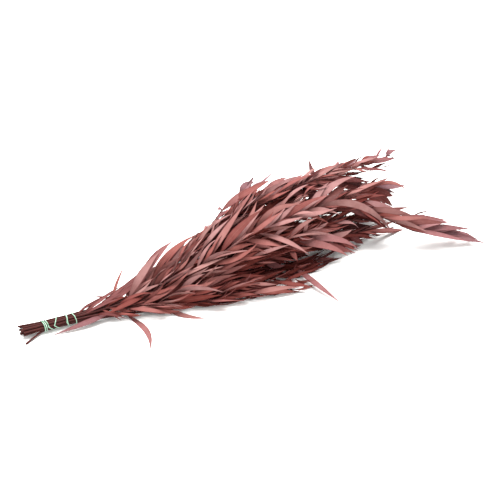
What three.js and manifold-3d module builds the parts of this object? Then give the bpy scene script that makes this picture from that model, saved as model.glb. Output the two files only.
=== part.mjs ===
// A tied bunch of dried narrow-leaved eucalyptus, lying on its side on a flat surface.
// Millimetres, +Z up, +X from the cut ends to the leaf tips. The origin is under the bunch's middle.
// Each leafy stem is one solid: a tapered stem, its side twigs and its leaves, grown together.
// Leaves don't cross: one that would meet a neighbour is turned and bent until it is clear of it.
import * as THREE from "three";
import { mergeVertices } from "three/addons/utils/BufferGeometryUtils.js";
import Module from "manifold-3d";

const wasm = await Module();
wasm.setup();

// Overall outline of the bunch. X is counted from the cut ends, and Y from the tie.
const LENGTH = 700;
const FRONT = -165;
const BACK = 115;

// How high the bunch reaches along it, over its middle. To both sides its top slopes down, and to
// the back the whole line also slants towards the tips.
const SKYLINE = [
  [136, 24], [200, 44], [220, 64], [270, 74], [329, 98],
  [356, 124], [480, 128], [580, 116], [640, 100], [668, 26],
];
const BACK_SLOPE = 0.82;
const FRONT_SLOPE = 0.3;
const SKYLINE_SLANT = 0.6;

// How far forward the bunch lies on the surface along it. What is higher hangs over further, and so
// does what is further ahead.
const FRONT_EDGE = [
  [110, -36], [180, -53], [246, -79], [337, -100], [401, -114], [420, -90],
  [516, -70], [563, -56], [620, -68], [660, -128], [702, -165],
];
const OVERHANG = 1.16;
const OVERHANG_SLANT = 0.68;

// The bundle of bare stems, where the string ties them side by side.
const STEM_RADIUS = 1.5;
const TIP_RADIUS = 0.7;
const STEM_SIDES = 5;
const STEM_STEP = 46;
const STEM_POINT = 6;
const SLOT_PITCH = 3.7;
const ROW_PITCH = 3.2;
const MIDDLE_ROW = 1.5;
const BUNDLE_HEIGHT = 9.7;
const BUNDLE_TURN = -0.13;
const TIE_START = 31;
const TIE_END = 80;
const CUT_SPREAD = 0.3;
const LOOSE_END = 15;

// The fan that the stems open into, and the height of its heart, which leaves turn away from. The
// stems in front spread at once. Those on top and behind stay together for longer, and all rise late.
const FAN_X = 400;
const FRONT_OPENING = { kink: 1.3, power: 1 };
const LATE_OPENING = { kink: 2, power: 1.7 };
const TOP_ROW = 3;
const SWAY = 2.4;
const SWAY_LENGTH = 240;
const HEART_HEIGHT = 42;
const HEART_FLATNESS = 1.4;
const OPEN_TOP = 12;

// The leaves. A long leaf has corners at three stations along it, and a small one at two. The first
// leaves of a stem, up to a share of the way along it, are shorter.
const LEAF_THICKNESS = 0.7;
const LEAF_LONG = 84;
const LEAF_STATIONS = [0.2, 0.45, 0.75];
const SMALL_LEAF = 70;
const SMALL_LEAF_STATIONS = [0.28, 0.64];
const LEAF_SPACING = 19.5;
const LEAF_TURN = THREE.MathUtils.degToRad(137.5);
const LEAF_JITTER = 0.3;
const LOW_LEAF = 14;
const ROOT_DEPTH = 0.9;
const OUTWARD_PULL = 0.7;
const TIP_LEAN = 0.45;
const FIRST_LEAF = 0.66;
const FIRST_SHARE = 0.25;
const CLEAR = 0.9;
const ATTEMPTS = 80;

// How leaves differ: angles in radians, then shares of a leaf's own length.
const LEAF_HABIT = {
  turn: [-Math.PI, Math.PI],
  lean: [0.15, 0.85],
  size: [0.82, 1.15],
  swing: [-0.2, 0.2],
  sag: [-0.02, 0.14],
  bow: [0.02, 0.16],
  hook: [-0.2, 0.2],
  roll: [-1.1, 1.1],
  twist: [-1.2, 1.2],
  slender: [0.12, 0.16],
};

// The side twigs, and how they differ: angles in radians, and the length.
const TWIG_RADIUS = 0.95;
const TWIG_SIDES = 4;
const TWIG_STATIONS = [0, 0.25, 0.6, 0.96, 1];
const TWIG_LOWEST = 6;
const TWIG_LEAVES = 6;
const TWIG_LEAF_LONG = 70;
const TWIG_LEAF_LAST = 46;
const TWIG_HABIT = { turn: [-1.6, 1.6], lean: [0.1, 0.26], size: [110, 165] };

// The binding string: where along the bundle each of its turns begins.
const STRING_RADIUS = 0.55;
const STRING_GAP = 0.75;
const STRING_SIDES = 5;
const STEPS_A_TURN = 10;
const STRING_TURNS = [33, 35.5, 38, 50, 64, 66.5, 69, 78];
const KNOT_RADIUS = 1.7;

// Stems by their slot in the tied bundle, as its row from the lowest up and its place from the
// middle to the back. Each has its place where the fan is fully open, its tip and where it starts
// to droop towards it, how far its cut end stands back, where its leaves begin, how long its last
// leaves are, and its number of side twigs.
const STEMS = [
  { slot: [0, -1], fan: [-76, 8], tip: [352, -94, 6], droop: 230,
    cut: 1, leafy: 185, last: 36, twigs: 1 },
  { slot: [0, 0], fan: [-50, 8], tip: [464, -62, 6], droop: 300,
    cut: 5, leafy: 190, last: 44, twigs: 1 },
  { slot: [0, 1], fan: [48, 9], tip: [520, 74, 8], droop: 300,
    cut: 2, leafy: 150, last: 58, twigs: 2 },
  { slot: [1, -1.5], fan: [-72, 26], tip: [332, -80, 22], droop: 230,
    cut: 3, leafy: 150, last: 36, twigs: 1 },
  { slot: [1, -0.5], fan: [-42, 26], tip: [452, -46, 22], droop: 300,
    cut: 0, leafy: 140, last: 44, twigs: 1 },
  { slot: [1, 0.5], fan: [4, 25], tip: [588, -14, 22], droop: 300,
    cut: 6, leafy: 200, last: 58, twigs: 2 },
  { slot: [1, 1.5], fan: [66, 32], tip: [470, 84, 28], droop: 300,
    cut: 2, leafy: 160, last: 58, twigs: 1 },
  { slot: [2, -1.5], fan: [-56, 48], tip: [424, -62, 42], droop: 300,
    cut: 4, leafy: 108, last: 50, twigs: 1 },
  { slot: [2, -0.5], fan: [-26, 46], tip: [556, -62, 24], droop: 330,
    cut: 1, leafy: 130, last: 70, twigs: 2 },
  { slot: [2, 0.5], fan: [12, 56], tip: [598, -6, 56], droop: 300,
    cut: 7, leafy: 185, last: 58, twigs: 2 },
  { slot: [2, 1.5], fan: [46, 62], tip: [520, 58, 58], droop: 300,
    cut: 3, leafy: 160, last: 58, twigs: 2 },
  { slot: [3, -1], fan: [-34, 76], tip: [646, -122, 18], droop: 490,
    cut: 2, leafy: 118, last: 84, twigs: 1 },
  { slot: [3, 0], fan: [8, 88], tip: [652, 28, 78], droop: 300,
    cut: 5, leafy: 165, last: 28, twigs: 2 },
  { slot: [3, 1], fan: [36, 84], tip: [400, 44, 88], droop: 300,
    cut: 0, leafy: 155, last: 34, twigs: 1 },
];

// Leaves that stand out of the bunch: the stem and place where each grows, its tip, how far its
// middle is bent off the straight line, and its width. A tilted one faces the front, not the sky.
const STRAY_LEAVES = [
  { stem: 7, x: 128, tip: [41, -19, 0.35], bend: [4, -6, 3], width: 11 },
  { stem: 0, x: 148, tip: [142, -119, 0.35], bend: [26, 2, -12], width: 11 },
  { stem: 0, x: 200, tip: [246, -97, 0.35], bend: [-2, -10, -4], width: 9 },
  { stem: 1, x: 412, tip: [427, FRONT, 0.35], bend: [-10, -4, 14], width: 12 },
  { stem: 11, x: 628, tip: [LENGTH, -158, 3], bend: [0, 4, 4], width: 13 },
  { stem: 11, x: 606, tip: [688, -126, 8], bend: [-2, 6, 5], width: 13 },
  { stem: 11, x: 588, tip: [672, -150, 12], bend: [-6, -8, 8], width: 12 },
  { stem: 13, x: 136, tip: [178, 24, 44], bend: [-4, 2, 2], width: 5 },
  { stem: 13, x: 196, tip: [290, 16, 62], bend: [-8, 8, 14], width: 15 },
  { stem: 9, x: 586, tip: [648, -24, 40], bend: [10, 4, 22], width: 13 },
  { stem: 2, x: 420, tip: [470, BACK, 0.35], bend: [-6, 8, 6], width: 11 },
  { stem: 11, x: 466, tip: [584, -78, 12], bend: [4, -12, 64], width: 13, tilt: 0.85 },
  { stem: 11, x: 522, tip: [604, -84, 38], bend: [0, 2, 26], width: 11, tilt: 0.5 },
  { stem: 11, x: 362, tip: [416, -96, 48], bend: [2, -8, 16], width: 13 },
  { stem: 11, x: 378, tip: [423, -67, 95], bend: [-4, -12, 10], width: 11 },
  { stem: 11, x: 342, tip: [402, -45, 100], bend: [-4, -10, 10], width: 11 },
  { stem: 11, x: 318, tip: [388, -18, 101], bend: [-6, -8, 12], width: 13 },
  { stem: 11, x: 276, tip: [360, -6, 104], bend: [-6, -6, 8], width: 12 },
  { stem: 11, x: 182, tip: [114, -31, 13], bend: [4, -7, 9], width: 10 },
  { stem: 7, x: 172, tip: [250, -36, 43], bend: [0, -12, -2], width: 11 },
  { stem: 12, x: 146, tip: [114, 3, 26], bend: [0, 0, 5], width: 5 },
  { stem: 11, x: 584, tip: [662, -112, 28], bend: [0, 10, 12], width: 13 },
  { stem: 13, x: 368, tip: [404, 40, 110], bend: [6, 0, -4], width: 7 },
  { stem: 13, x: 386, tip: [441, 40, 113], bend: [8, 2, -6], width: 7 },
];

const UP = new THREE.Vector3(0, 0, 1);
const AHEAD = new THREE.Vector3(1, 0, 0);
const TO_FRONT = new THREE.Vector3(0, -1, 0);
const between = (low, high, share) => low + (high - low) * share;
const within = (t) => Math.min(1, Math.max(0, t));
const smooth = (t) => t * t * (3 - 2 * t);

// A repeatable random number from 0 to 1, named by whole numbers.
function draw(...keys) {
  let h = 0x1b873593;
  for (const key of keys) {
    h = Math.imul(h ^ (key + 0x9e37), 0x85ebca6b) >>> 0;
    h = (h ^ (h >>> 13)) >>> 0;
    h = Math.imul(h, 0xc2b2ae35) >>> 0;
    h = (h ^ (h >>> 16)) >>> 0;
  }
  return h / 2 ** 32;
}

// One value for each trait of a habit, drawn from its range.
function drawTraits(habit, ...keys) {
  const traits = Object.entries(habit).map(([trait, [low, high]], i) => [
    trait,
    between(low, high, draw(...keys, i)),
  ]);
  return Object.fromEntries(traits);
}

// A point on a stem's centre line, at a distance along the bunch.
function stemPoint(index, x) {
  const { slot, fan, tip, droop } = STEMS[index];
  const splay = within(1 - x / TIE_START) ** 1.5;
  const spread = 1 + CUT_SPREAD * splay;
  let y = BUNDLE_TURN * x + slot[1] * SLOT_PITCH * spread;
  let z = BUNDLE_HEIGHT + (slot[0] - MIDDLE_ROW) * ROW_PITCH * spread;
  if (index === 0) {
    y -= LOOSE_END * splay;
    z = between(z, STEM_RADIUS, splay);
  }
  const t = within((x - TIE_END) / (FAN_X - TIE_END));
  const opened = ({ kink, power }) => (1 - (1 - t) ** 2 * (1 + kink * t)) ** power;
  const spreading = opened(slot[1] < 0 && slot[0] < TOP_ROW ? FRONT_OPENING : LATE_OPENING);
  const rising = opened(LATE_OPENING);
  const fall = smooth(within((x - droop) / (tip[0] - droop)));
  const sway = SWAY * rising * Math.sin((2 * Math.PI * x) / SWAY_LENGTH + 6 * draw(index, 1));
  y = between(between(y, fan[0], spreading), tip[1], fall) + sway;
  z = between(between(z, fan[1], rising), tip[2], fall) + 0.4 * sway;
  return new THREE.Vector3(x, y, z);
}

// The way out of the bunch at a point, square to a direction.
function outward(point, direction) {
  const heart = HEART_HEIGHT * within(point.x / FAN_X);
  const out = new THREE.Vector3(0, point.y, HEART_FLATNESS * (point.z - heart) + OPEN_TOP);
  return out.addScaledVector(direction, -out.dot(direction)).normalize();
}

// A leaf's or twig's centre line is a curve from its root, drawn towards its bend, to its tip.
function linePoint({ root, bend, tip }, t) {
  const point = root.clone().multiplyScalar((1 - t) ** 2);
  return point.addScaledVector(bend, 2 * t * (1 - t)).addScaledVector(tip, t * t);
}

function lineDirection({ root, bend, tip }, t) {
  const direction = root.clone().multiplyScalar(t - 1);
  return direction.addScaledVector(bend, 1 - 2 * t).addScaledVector(tip, t).normalize();
}

// The blade is a narrow lance shape, widest at about two fifths of its length.
function halfWidth(leaf, t) {
  return (leaf.width / 2) * Math.sin(Math.PI * t ** 0.8) ** 1.1;
}

// Keeps a point of a blade's middle layer on or over the surface that the bunch lies on.
function lifted(point) {
  point.z = Math.max(point.z, LEAF_THICKNESS / 2);
  return point;
}

// The left and right edges of a blade at its stations. With a clearance they are moved out by it,
// and the blade's two ends become stations too.
function bladeEdges(leaf, clearance = 0) {
  const small = leaf.root.distanceTo(leaf.tip) < SMALL_LEAF;
  const stations = small ? SMALL_LEAF_STATIONS : LEAF_STATIONS;
  return (clearance ? [0, ...stations, 1] : stations).map((t) => {
    const along = lineDirection(leaf, t);
    const side = leaf.face.clone().cross(along).normalize();
    side.applyAxisAngle(along, leaf.twist * (t - 0.5));
    const half = halfWidth(leaf, t) + clearance;
    return [half, -half].map((offset) => lifted(linePoint(leaf, t).addScaledVector(side, offset)));
  });
}

// Triangles between two rings of corners. Side `turned` is split along its other diagonal.
function stitch(a, b, turned) {
  return a.flatMap((corner, i) => {
    const j = (i + 1) % a.length;
    if (i === turned) return [[corner, a[j], b[j]], [corner, b[j], b[i]]];
    return [[corner, a[j], b[i]], [a[j], b[j], b[i]]];
  });
}

// The closed surface from its first triangles, through rings of corners, to a pointed tip.
function skinOf(start, rings, tip, turned) {
  const last = rings[rings.length - 1];
  const sides = rings.slice(1).flatMap((ring, i) => stitch(rings[i], ring, turned));
  const point = last.map((corner, i) => [corner, last[(i + 1) % last.length], tip]);
  return [...start, ...sides, ...point];
}

// A blade through rings of four corners, from an upright edge at its root. Its under side is split
// like its upper one, so that a twisted blade doesn't cross itself.
const UNDER_SIDE = 2;
function bladeSkin(leaf, clearance = 0) {
  const root = lifted(leaf.root.clone());
  const tip = lifted(leaf.tip.clone().addScaledVector(lineDirection(leaf, 1), clearance));
  const edges = bladeEdges(leaf, clearance);
  const ups = edges.map(([left, right], i) => {
    const before = edges[i - 1] ?? [root, root];
    const after = edges[i + 1] ?? [tip, tip];
    const along = after[0].clone().add(after[1]).sub(before[0]).sub(before[1]);
    return along.cross(left.clone().sub(right)).setLength(LEAF_THICKNESS / 2 + clearance);
  });
  const rings = edges.map(([left, right], i) => [
    left.clone().add(ups[i]),
    right.clone().add(ups[i]),
    right.clone().sub(ups[i]),
    left.clone().sub(ups[i]),
  ]);
  const [leftOver, rightOver, rightUnder, leftUnder] = rings[0];
  const over = root.clone().add(ups[0]);
  const under = root.clone().sub(ups[0]);
  const start = [
    [over, rightOver, leftOver],
    [over, rightUnder, rightOver],
    [over, under, rightUnder],
    [under, leftUnder, rightUnder],
    [under, leftOver, leftUnder],
    [under, over, leftOver],
  ];
  return skinOf(start, rings, tip, UNDER_SIDE);
}

// The blade's middle layer, with no thickness.
function bladeLayer(leaf) {
  const edges = bladeEdges(leaf);
  const strips = edges.slice(1).flatMap(([left, right], i) => [
    [...edges[i], left],
    [edges[i][1], right, left],
  ]);
  const root = [...edges[0], lifted(leaf.root.clone())];
  return [root, ...strips, [...edges[edges.length - 1], lifted(leaf.tip.clone())]];
}

// A round piece of wood through points with their radii, from a cut end to a pointed tip.
function woodSkin({ points, radii }, sides, clearance = 0) {
  const rings = points.slice(0, -1).map((point, i) => {
    const direction = points[i + 1].clone().sub(points[Math.max(0, i - 1)]).normalize();
    const across = UP.clone().cross(direction).normalize();
    const over = direction.clone().cross(across);
    return Array.from({ length: sides }, (_, k) => {
      const angle = (2 * Math.PI * (k + 0.5)) / sides;
      const radius = radii[i] + clearance;
      const corner = point.clone().addScaledVector(across, radius * Math.cos(angle));
      return corner.addScaledVector(over, radius * Math.sin(angle));
    });
  });
  const [first] = rings;
  const end = first.slice(2).map((corner, i) => [first[0], corner, first[i + 1]]);
  return skinOf(end, rings, points[points.length - 1]);
}

function stemWood(index) {
  const { cut, tip } = STEMS[index];
  const end = tip[0] - STEM_POINT;
  const steps = Math.ceil((end - TIE_END) / STEM_STEP);
  const fanned = Array.from({ length: steps + 1 }, (_, i) => between(TIE_END, end, i / steps));
  const stations = [cut, TIE_START, ...fanned, tip[0]];
  const points = stations.map((x) => stemPoint(index, x));
  const radii = stations.map((x) => between(STEM_RADIUS, TIP_RADIUS, within(x / end) ** 1.4));
  return { stations, points, radii };
}

function twigWood(line) {
  const points = TWIG_STATIONS.map((t) => linePoint(line, t));
  const radii = TWIG_STATIONS.map((t) => between(TWIG_RADIUS, TIP_RADIUS, t));
  return { stations: TWIG_STATIONS, points, radii };
}

// The axis, direction and radius of a piece of wood at a place among its stations.
function placeOn({ stations, points, radii }, place) {
  const next = Math.max(1, stations.findIndex((station) => station >= place));
  const share = within((place - stations[next - 1]) / (stations[next] - stations[next - 1]));
  return {
    axis: points[next - 1].clone().lerp(points[next], share),
    direction: points[next].clone().sub(points[next - 1]).normalize(),
    radius: between(radii[next - 1], radii[next], share),
  };
}

// Six times the signed volume of the tetrahedron on four points.
function volume(a, b, c, d) {
  const [ax, ay, az] = [a.x - d.x, a.y - d.y, a.z - d.z];
  const [bx, by, bz] = [b.x - d.x, b.y - d.y, b.z - d.z];
  const [cx, cy, cz] = [c.x - d.x, c.y - d.y, c.z - d.z];
  return ax * (by * cz - bz * cy) + ay * (bz * cx - bx * cz) + az * (bx * cy - by * cx);
}

// Whether the segment from p to q passes through a triangle.
function pierces(p, q, [a, b, c]) {
  if (volume(a, b, c, p) > 0 === volume(a, b, c, q) > 0) return false;
  const turn = volume(p, q, a, b) > 0;
  return turn === volume(p, q, b, c) > 0 && turn === volume(p, q, c, a) > 0;
}

function meet(one, other) {
  const edges = [[0, 1], [1, 2], [2, 0]];
  return edges.some(([i, j]) => pierces(one[i], one[j], other) || pierces(other[i], other[j], one));
}

// What has grown so far, as triangles with their boxes and what each belongs to.
const grown = [];
const boxOf = (points) => new THREE.Box3().setFromPoints(points);

function keep(triangles, owner) {
  for (const triangle of triangles) grown.push({ triangle, box: boxOf(triangle), owner });
}

// Whether a skin meets anything that has grown, apart from the wood that it grows from.
function blocked(skin, wood) {
  const box = boxOf(skin.flat());
  const near = grown.filter(({ owner, box: its }) => owner !== wood && its.intersectsBox(box));
  return skin.some((triangle) => {
    const small = boxOf(triangle);
    return near.some((other) => other.box.intersectsBox(small) && meet(triangle, other.triangle));
  });
}

// The value at a place along a line of stations, which runs level beyond its two ends.
function valueAt(line, x) {
  const last = line.length - 1;
  const after = Math.max(1, line.findIndex(([station], i) => station >= x || i === last));
  const [[from, low], [to, high]] = [line[after - 1], line[after]];
  return between(low, high, within((x - from) / (to - from)));
}

function insideOutline({ x, y, z }) {
  const [behind, before] = [Math.max(0, y), Math.max(0, -y)];
  const roof = valueAt(SKYLINE, x - SKYLINE_SLANT * behind) - BACK_SLOPE * behind - FRONT_SLOPE * before;
  const front = valueAt(FRONT_EDGE, x + OVERHANG_SLANT * z) - OVERHANG * z;
  return z > -LEAF_THICKNESS && z < roof && y > front && y < BACK && x < LENGTH;
}

// Grows a leaf or twig in the first way that is clear, or not at all.
function grow(place, wood, shapeAt, skinAround, coreOf) {
  for (let attempt = 0; attempt < ATTEMPTS; attempt++) {
    const shape = shapeAt(place, attempt);
    const fits = skinAround(shape).flat().every(insideOutline);
    if (!fits || blocked(skinAround(shape, CLEAR), wood)) continue;
    keep(coreOf(shape), shape);
    return shape;
  }
  return null;
}

// One way that a leaf could grow. Later attempts turn further from its place in the spiral, and
// towards the end of a stem or twig leaves close up to point ahead.
function leafAt({ stem, number, share, length, axis, direction, radius }, attempt) {
  const traits = drawTraits(LEAF_HABIT, stem, number, attempt);
  const size = length * traits.size * (1 - attempt / 300);
  const turn = number * LEAF_TURN + 6 * draw(stem, 2) + Math.min(1, attempt / 12) * traits.turn;
  const lean = traits.lean * between(1, TIP_LEAN, share);
  const out = outward(axis, direction);
  const away = out.clone().multiplyScalar(Math.cos(turn) + OUTWARD_PULL);
  away.addScaledVector(direction.clone().cross(out), Math.sin(turn)).normalize();
  const sideways = direction.clone().cross(away);
  const reach = direction.clone().multiplyScalar(Math.cos(lean)).addScaledVector(away, Math.sin(lean));

  const root = axis.clone().addScaledVector(away, Math.max(0, radius - ROOT_DEPTH));
  const tip = root.clone().addScaledVector(reach, size);
  tip.addScaledVector(sideways, size * traits.swing).addScaledVector(UP, -size * traits.sag);
  const bend = root.clone().addScaledVector(reach, 0.45 * size);
  bend.addScaledVector(away, size * traits.bow).addScaledVector(sideways, size * traits.hook);
  const face = out.applyAxisAngle(direction, traits.roll).lerp(UP, within(1 - tip.z / LOW_LEAF));
  return { root, bend, tip, face, twist: traits.twist, width: size * traits.slender };
}

// One way that a twig could grow.
function twigAt({ stem, number, axis, direction }, attempt) {
  const { turn, lean, size } = drawTraits(TWIG_HABIT, stem, number, attempt);
  const away = outward(axis, direction).applyAxisAngle(direction, turn);
  const ahead = direction.clone().lerp(AHEAD, 0.6).normalize();
  const tip = axis.clone().addScaledVector(ahead, size * Math.cos(lean));
  tip.addScaledVector(away, size * Math.sin(lean));
  tip.z = Math.max(tip.z, TWIG_LOWEST);
  const bend = axis.clone().lerp(tip, 0.4).addScaledVector(away, 0.06 * size);
  return { root: axis.clone(), bend, tip };
}

// All stems stand first, so that twigs and leaves can be kept clear of them.
const stems = STEMS.map((_, index) => stemWood(index));
const skins = stems.map((wood) => [woodSkin(wood, STEM_SIDES)]);
stems.forEach((wood, index) => keep(skins[index][0], wood));

for (const { stem, x, tip, bend, width, tilt = 0 } of STRAY_LEAVES) {
  const { axis, direction } = placeOn(stems[stem], x);
  const end = new THREE.Vector3(...tip);
  const middle = axis.clone().lerp(end, 0.5).add(new THREE.Vector3(...bend));
  const face = outward(axis, direction).lerp(UP, 0.8).lerp(TO_FRONT, tilt);
  const leaf = { root: axis, bend: middle, tip: end, face, twist: 0.2, width };
  keep(bladeLayer(leaf), leaf);
  skins[stem].push(bladeSkin(leaf));
}

const twigs = [];
const twigSkin = (line, clearance) => woodSkin(twigWood(line), TWIG_SIDES, clearance);
STEMS.forEach(({ leafy, tip, twigs: count }, stem) => {
  for (let order = 0; order < count; order++) {
    const share = (order + 0.35 + 0.4 * draw(stem, order, 3)) / count;
    const place = placeOn(stems[stem], between(leafy + 30, tip[0] - 130, share));
    const line = grow({ stem, number: 1000 + order, ...place }, stems[stem], twigAt, twigSkin, twigSkin);
    if (!line) continue;
    twigs.push({ stem, order, line });
    skins[stem].push(twigSkin(line));
  }
});

function growLeaf(place, wood) {
  const leaf = grow(place, wood, leafAt, bladeSkin, bladeLayer);
  if (leaf) skins[place.stem].push(bladeSkin(leaf));
}

STEMS.forEach(({ leafy, tip, last }, stem) => {
  const end = tip[0] - STEM_POINT;
  const count = Math.floor((end - leafy) / LEAF_SPACING);
  for (let number = 0; number <= count; number++) {
    const share = within((number + LEAF_JITTER * (draw(stem, number, 4) - 0.5)) / count);
    const young = between(FIRST_LEAF, 1, within(share / FIRST_SHARE));
    const length = between(LEAF_LONG, last, share ** 1.5) * young;
    const place = placeOn(stems[stem], between(leafy, end, share));
    growLeaf({ stem, number, share, length, ...place }, stems[stem]);
  }
});

for (const { stem, order, line } of twigs) {
  for (let k = 0; k < TWIG_LEAVES; k++) {
    const t = between(0.2, 0.96, k / (TWIG_LEAVES - 1));
    const number = 100 * (order + 1) + k;
    const length = between(TWIG_LEAF_LONG, TWIG_LEAF_LAST, t);
    growLeaf({ stem, number, share: t, length, ...placeOn(twigWood(line), t) }, line);
  }
}

// The solid inside a surface of loose triangles.
function solidFrom(loose) {
  const merged = mergeVertices(loose, 1e-4);
  const vertProperties = merged.attributes.position.array;
  const triVerts = new Uint32Array(merged.index.array);
  return new wasm.Manifold(new wasm.Mesh({ numProp: 3, vertProperties, triVerts }));
}

function solidOfSkin(skin) {
  const numbers = new Float32Array(skin.flat().flatMap(({ x, y, z }) => [x, y, z]));
  return solidFrom(
    new THREE.BufferGeometry().setAttribute("position", new THREE.BufferAttribute(numbers, 3)),
  );
}

function solidOfGeometry(geometry) {
  const bare = geometry.clone().deleteAttribute("normal").deleteAttribute("uv");
  return solidFrom(bare.index ? bare.toNonIndexed() : bare);
}

// One mesh of the solids in a list, joined.
function joinedMesh(name, solids, material) {
  const { numProp, vertProperties, triVerts } = solids.reduce((whole, solid) => whole.add(solid)).getMesh();
  const geometry = new THREE.BufferGeometry();
  geometry.setAttribute("position", new THREE.BufferAttribute(vertProperties, numProp));
  geometry.setIndex(new THREE.BufferAttribute(triVerts, 1));
  const mesh = new THREE.Mesh(geometry, material);
  mesh.name = name;
  return mesh;
}

const bunch = new THREE.Group();
bunch.position.set(-LENGTH / 2, -(FRONT + BACK) / 2, 0);

skins.forEach((parts, index) => {
  const name = "leafy_stem_" + String(index + 1).padStart(2, "0");
  const finish = new THREE.MeshStandardMaterial({ color: 0xb47268, roughness: 0.75, metalness: 0 });
  bunch.add(joinedMesh(name, parts.map(solidOfSkin), finish));
});

// The string runs round the bundle in close turns, with a long turn between them.
const bundleCorner = Math.hypot(SLOT_PITCH, MIDDLE_ROW * ROW_PITCH);
const stringPathRadius = bundleCorner + STEM_RADIUS + STRING_GAP + STRING_RADIUS;
const lastTurn = STRING_TURNS.length - 2;
const stringPath = Array.from({ length: (lastTurn + 1) * STEPS_A_TURN + 1 }, (_, i) => {
  const turn = Math.min(lastTurn, Math.floor(i / STEPS_A_TURN));
  const x = between(STRING_TURNS[turn], STRING_TURNS[turn + 1], i / STEPS_A_TURN - turn);
  const angle = (2 * Math.PI * i) / STEPS_A_TURN;
  const y = BUNDLE_TURN * x + stringPathRadius * Math.cos(angle);
  return new THREE.Vector3(x, y, BUNDLE_HEIGHT + stringPathRadius * Math.sin(angle));
});
const stringSection = new THREE.Shape().setFromPoints(
  Array.from({ length: STRING_SIDES }, (_, i) => {
    const angle = (2 * Math.PI * i) / STRING_SIDES;
    return new THREE.Vector2(STRING_RADIUS * Math.cos(angle), STRING_RADIUS * Math.sin(angle));
  }),
);
const stringTube = new THREE.ExtrudeGeometry(stringSection, {
  steps: stringPath.length - 1,
  extrudePath: new THREE.CatmullRomCurve3(stringPath),
});

// A knot at each end of the string, at the back of the bundle.
const knots = [stringPath[0], stringPath[stringPath.length - 1]].map(({ x, y, z }) =>
  new THREE.SphereGeometry(KNOT_RADIUS, 7, 5).translate(x, y + KNOT_RADIUS - STRING_RADIUS, z),
);
const stringFinish = new THREE.MeshStandardMaterial({ color: 0x9fcfae, roughness: 0.5, metalness: 0 });
bunch.add(joinedMesh("binding_string", [stringTube, ...knots].map(solidOfGeometry), stringFinish));

export default bunch;
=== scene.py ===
# %% [markdown]
# # A tied bunch of dried eucalyptus
# The imported model comes first. It gives the place of every stem and leaf, as plain solids in metres.
# Everything that follows dresses those solids and never moves them. The box of the imported model
# is kept here, and the outline that the leaves keep to takes its top from it.

# %% The imported model
from math import ceil, cos, floor, inf, pi, radians, sin

import bmesh
import bpy
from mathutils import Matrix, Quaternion, Vector
from mathutils.bvhtree import BVHTree
from mathutils.kdtree import KDTree


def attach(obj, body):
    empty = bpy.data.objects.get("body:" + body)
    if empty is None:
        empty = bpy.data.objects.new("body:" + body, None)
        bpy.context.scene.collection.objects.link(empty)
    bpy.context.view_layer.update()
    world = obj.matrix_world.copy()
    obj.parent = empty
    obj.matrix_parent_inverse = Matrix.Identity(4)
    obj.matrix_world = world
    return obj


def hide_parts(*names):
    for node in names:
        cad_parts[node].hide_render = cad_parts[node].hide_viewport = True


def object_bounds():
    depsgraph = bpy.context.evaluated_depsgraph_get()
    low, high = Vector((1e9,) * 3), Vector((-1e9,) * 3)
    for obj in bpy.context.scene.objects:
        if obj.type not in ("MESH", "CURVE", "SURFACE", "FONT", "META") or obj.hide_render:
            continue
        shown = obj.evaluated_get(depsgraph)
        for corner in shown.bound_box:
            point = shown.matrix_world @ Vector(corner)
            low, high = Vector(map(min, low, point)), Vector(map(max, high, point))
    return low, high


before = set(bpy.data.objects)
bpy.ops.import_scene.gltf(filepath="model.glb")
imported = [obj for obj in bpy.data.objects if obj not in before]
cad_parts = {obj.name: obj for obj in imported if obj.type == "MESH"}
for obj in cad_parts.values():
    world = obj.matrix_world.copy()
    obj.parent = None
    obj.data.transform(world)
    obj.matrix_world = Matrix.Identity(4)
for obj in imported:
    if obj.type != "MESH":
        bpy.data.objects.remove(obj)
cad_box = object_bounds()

print("nodes:", len(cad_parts))

# %% [markdown]
# ## The camera
# The photograph looks down on the bunch from in front and from its left, through a long lens, so
# the lines along the bunch hardly converge. Three angles and a distance describe such a camera, and
# `to_track_quat` turns it towards the middle of the bunch.

# %% Camera
CAMERA_AZIMUTH = radians(-31)
CAMERA_ELEVATION = radians(35)
CAMERA_DISTANCE = 2.055
CAMERA_TARGET = Vector((0.0118, 0.0056, 0.03))
LENS_MM = 100
SENSOR_MM = 36


def direction_from(azimuth, elevation):
    """The direction from the bunch to something that looks at it or lights it."""
    flat = cos(elevation)
    return Vector((sin(azimuth) * flat, -cos(azimuth) * flat, sin(elevation)))


def add_object(name, data):
    thing = bpy.data.objects.new(name, data)
    bpy.context.scene.collection.objects.link(thing)
    return thing


def aim(thing, azimuth, elevation, distance, target):
    """Places a camera or a light and turns it towards its target."""
    back = direction_from(azimuth, elevation)
    thing.location = target + back * distance
    thing.rotation_euler = back.to_track_quat("Z", "Y").to_euler()


camera = add_object("camera", bpy.data.cameras.new("camera"))
camera.data.lens = LENS_MM
camera.data.sensor_width = SENSOR_MM
aim(camera, CAMERA_AZIMUTH, CAMERA_ELEVATION, CAMERA_DISTANCE, CAMERA_TARGET)
bpy.context.scene.camera = camera
print("camera at", [round(value, 3) for value in camera.location])

# %% [markdown]
# ## Millimetres along the bunch
# The plant is easier to describe in millimetres, with X counted from the cut ends and Y from the
# tie, as a florist would measure it. One function brings a point from there to the model's metres.
# The small helpers below are the ones that every later cell leans on.

# %% Units and small helpers
LENGTH = 700
FRONT = -165
BACK = 115
MM = 0.001
UP = Vector((0, 0, 1))
AHEAD = Vector((1, 0, 0))
TO_FRONT = Vector((0, -1, 0))
MODEL_ORIGIN = Vector((LENGTH / 2, (FRONT + BACK) / 2, 0))


def in_metres(point):
    return (point - MODEL_ORIGIN) * MM


def in_millimetres(point):
    return point / MM + MODEL_ORIGIN


def between(low, high, share):
    return low + (high - low) * share


def within(t):
    return min(1, max(0, t))


def smooth(t):
    return t * t * (3 - 2 * t)


def turned(vector, axis, angle):
    return Quaternion(axis, angle) @ vector


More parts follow.
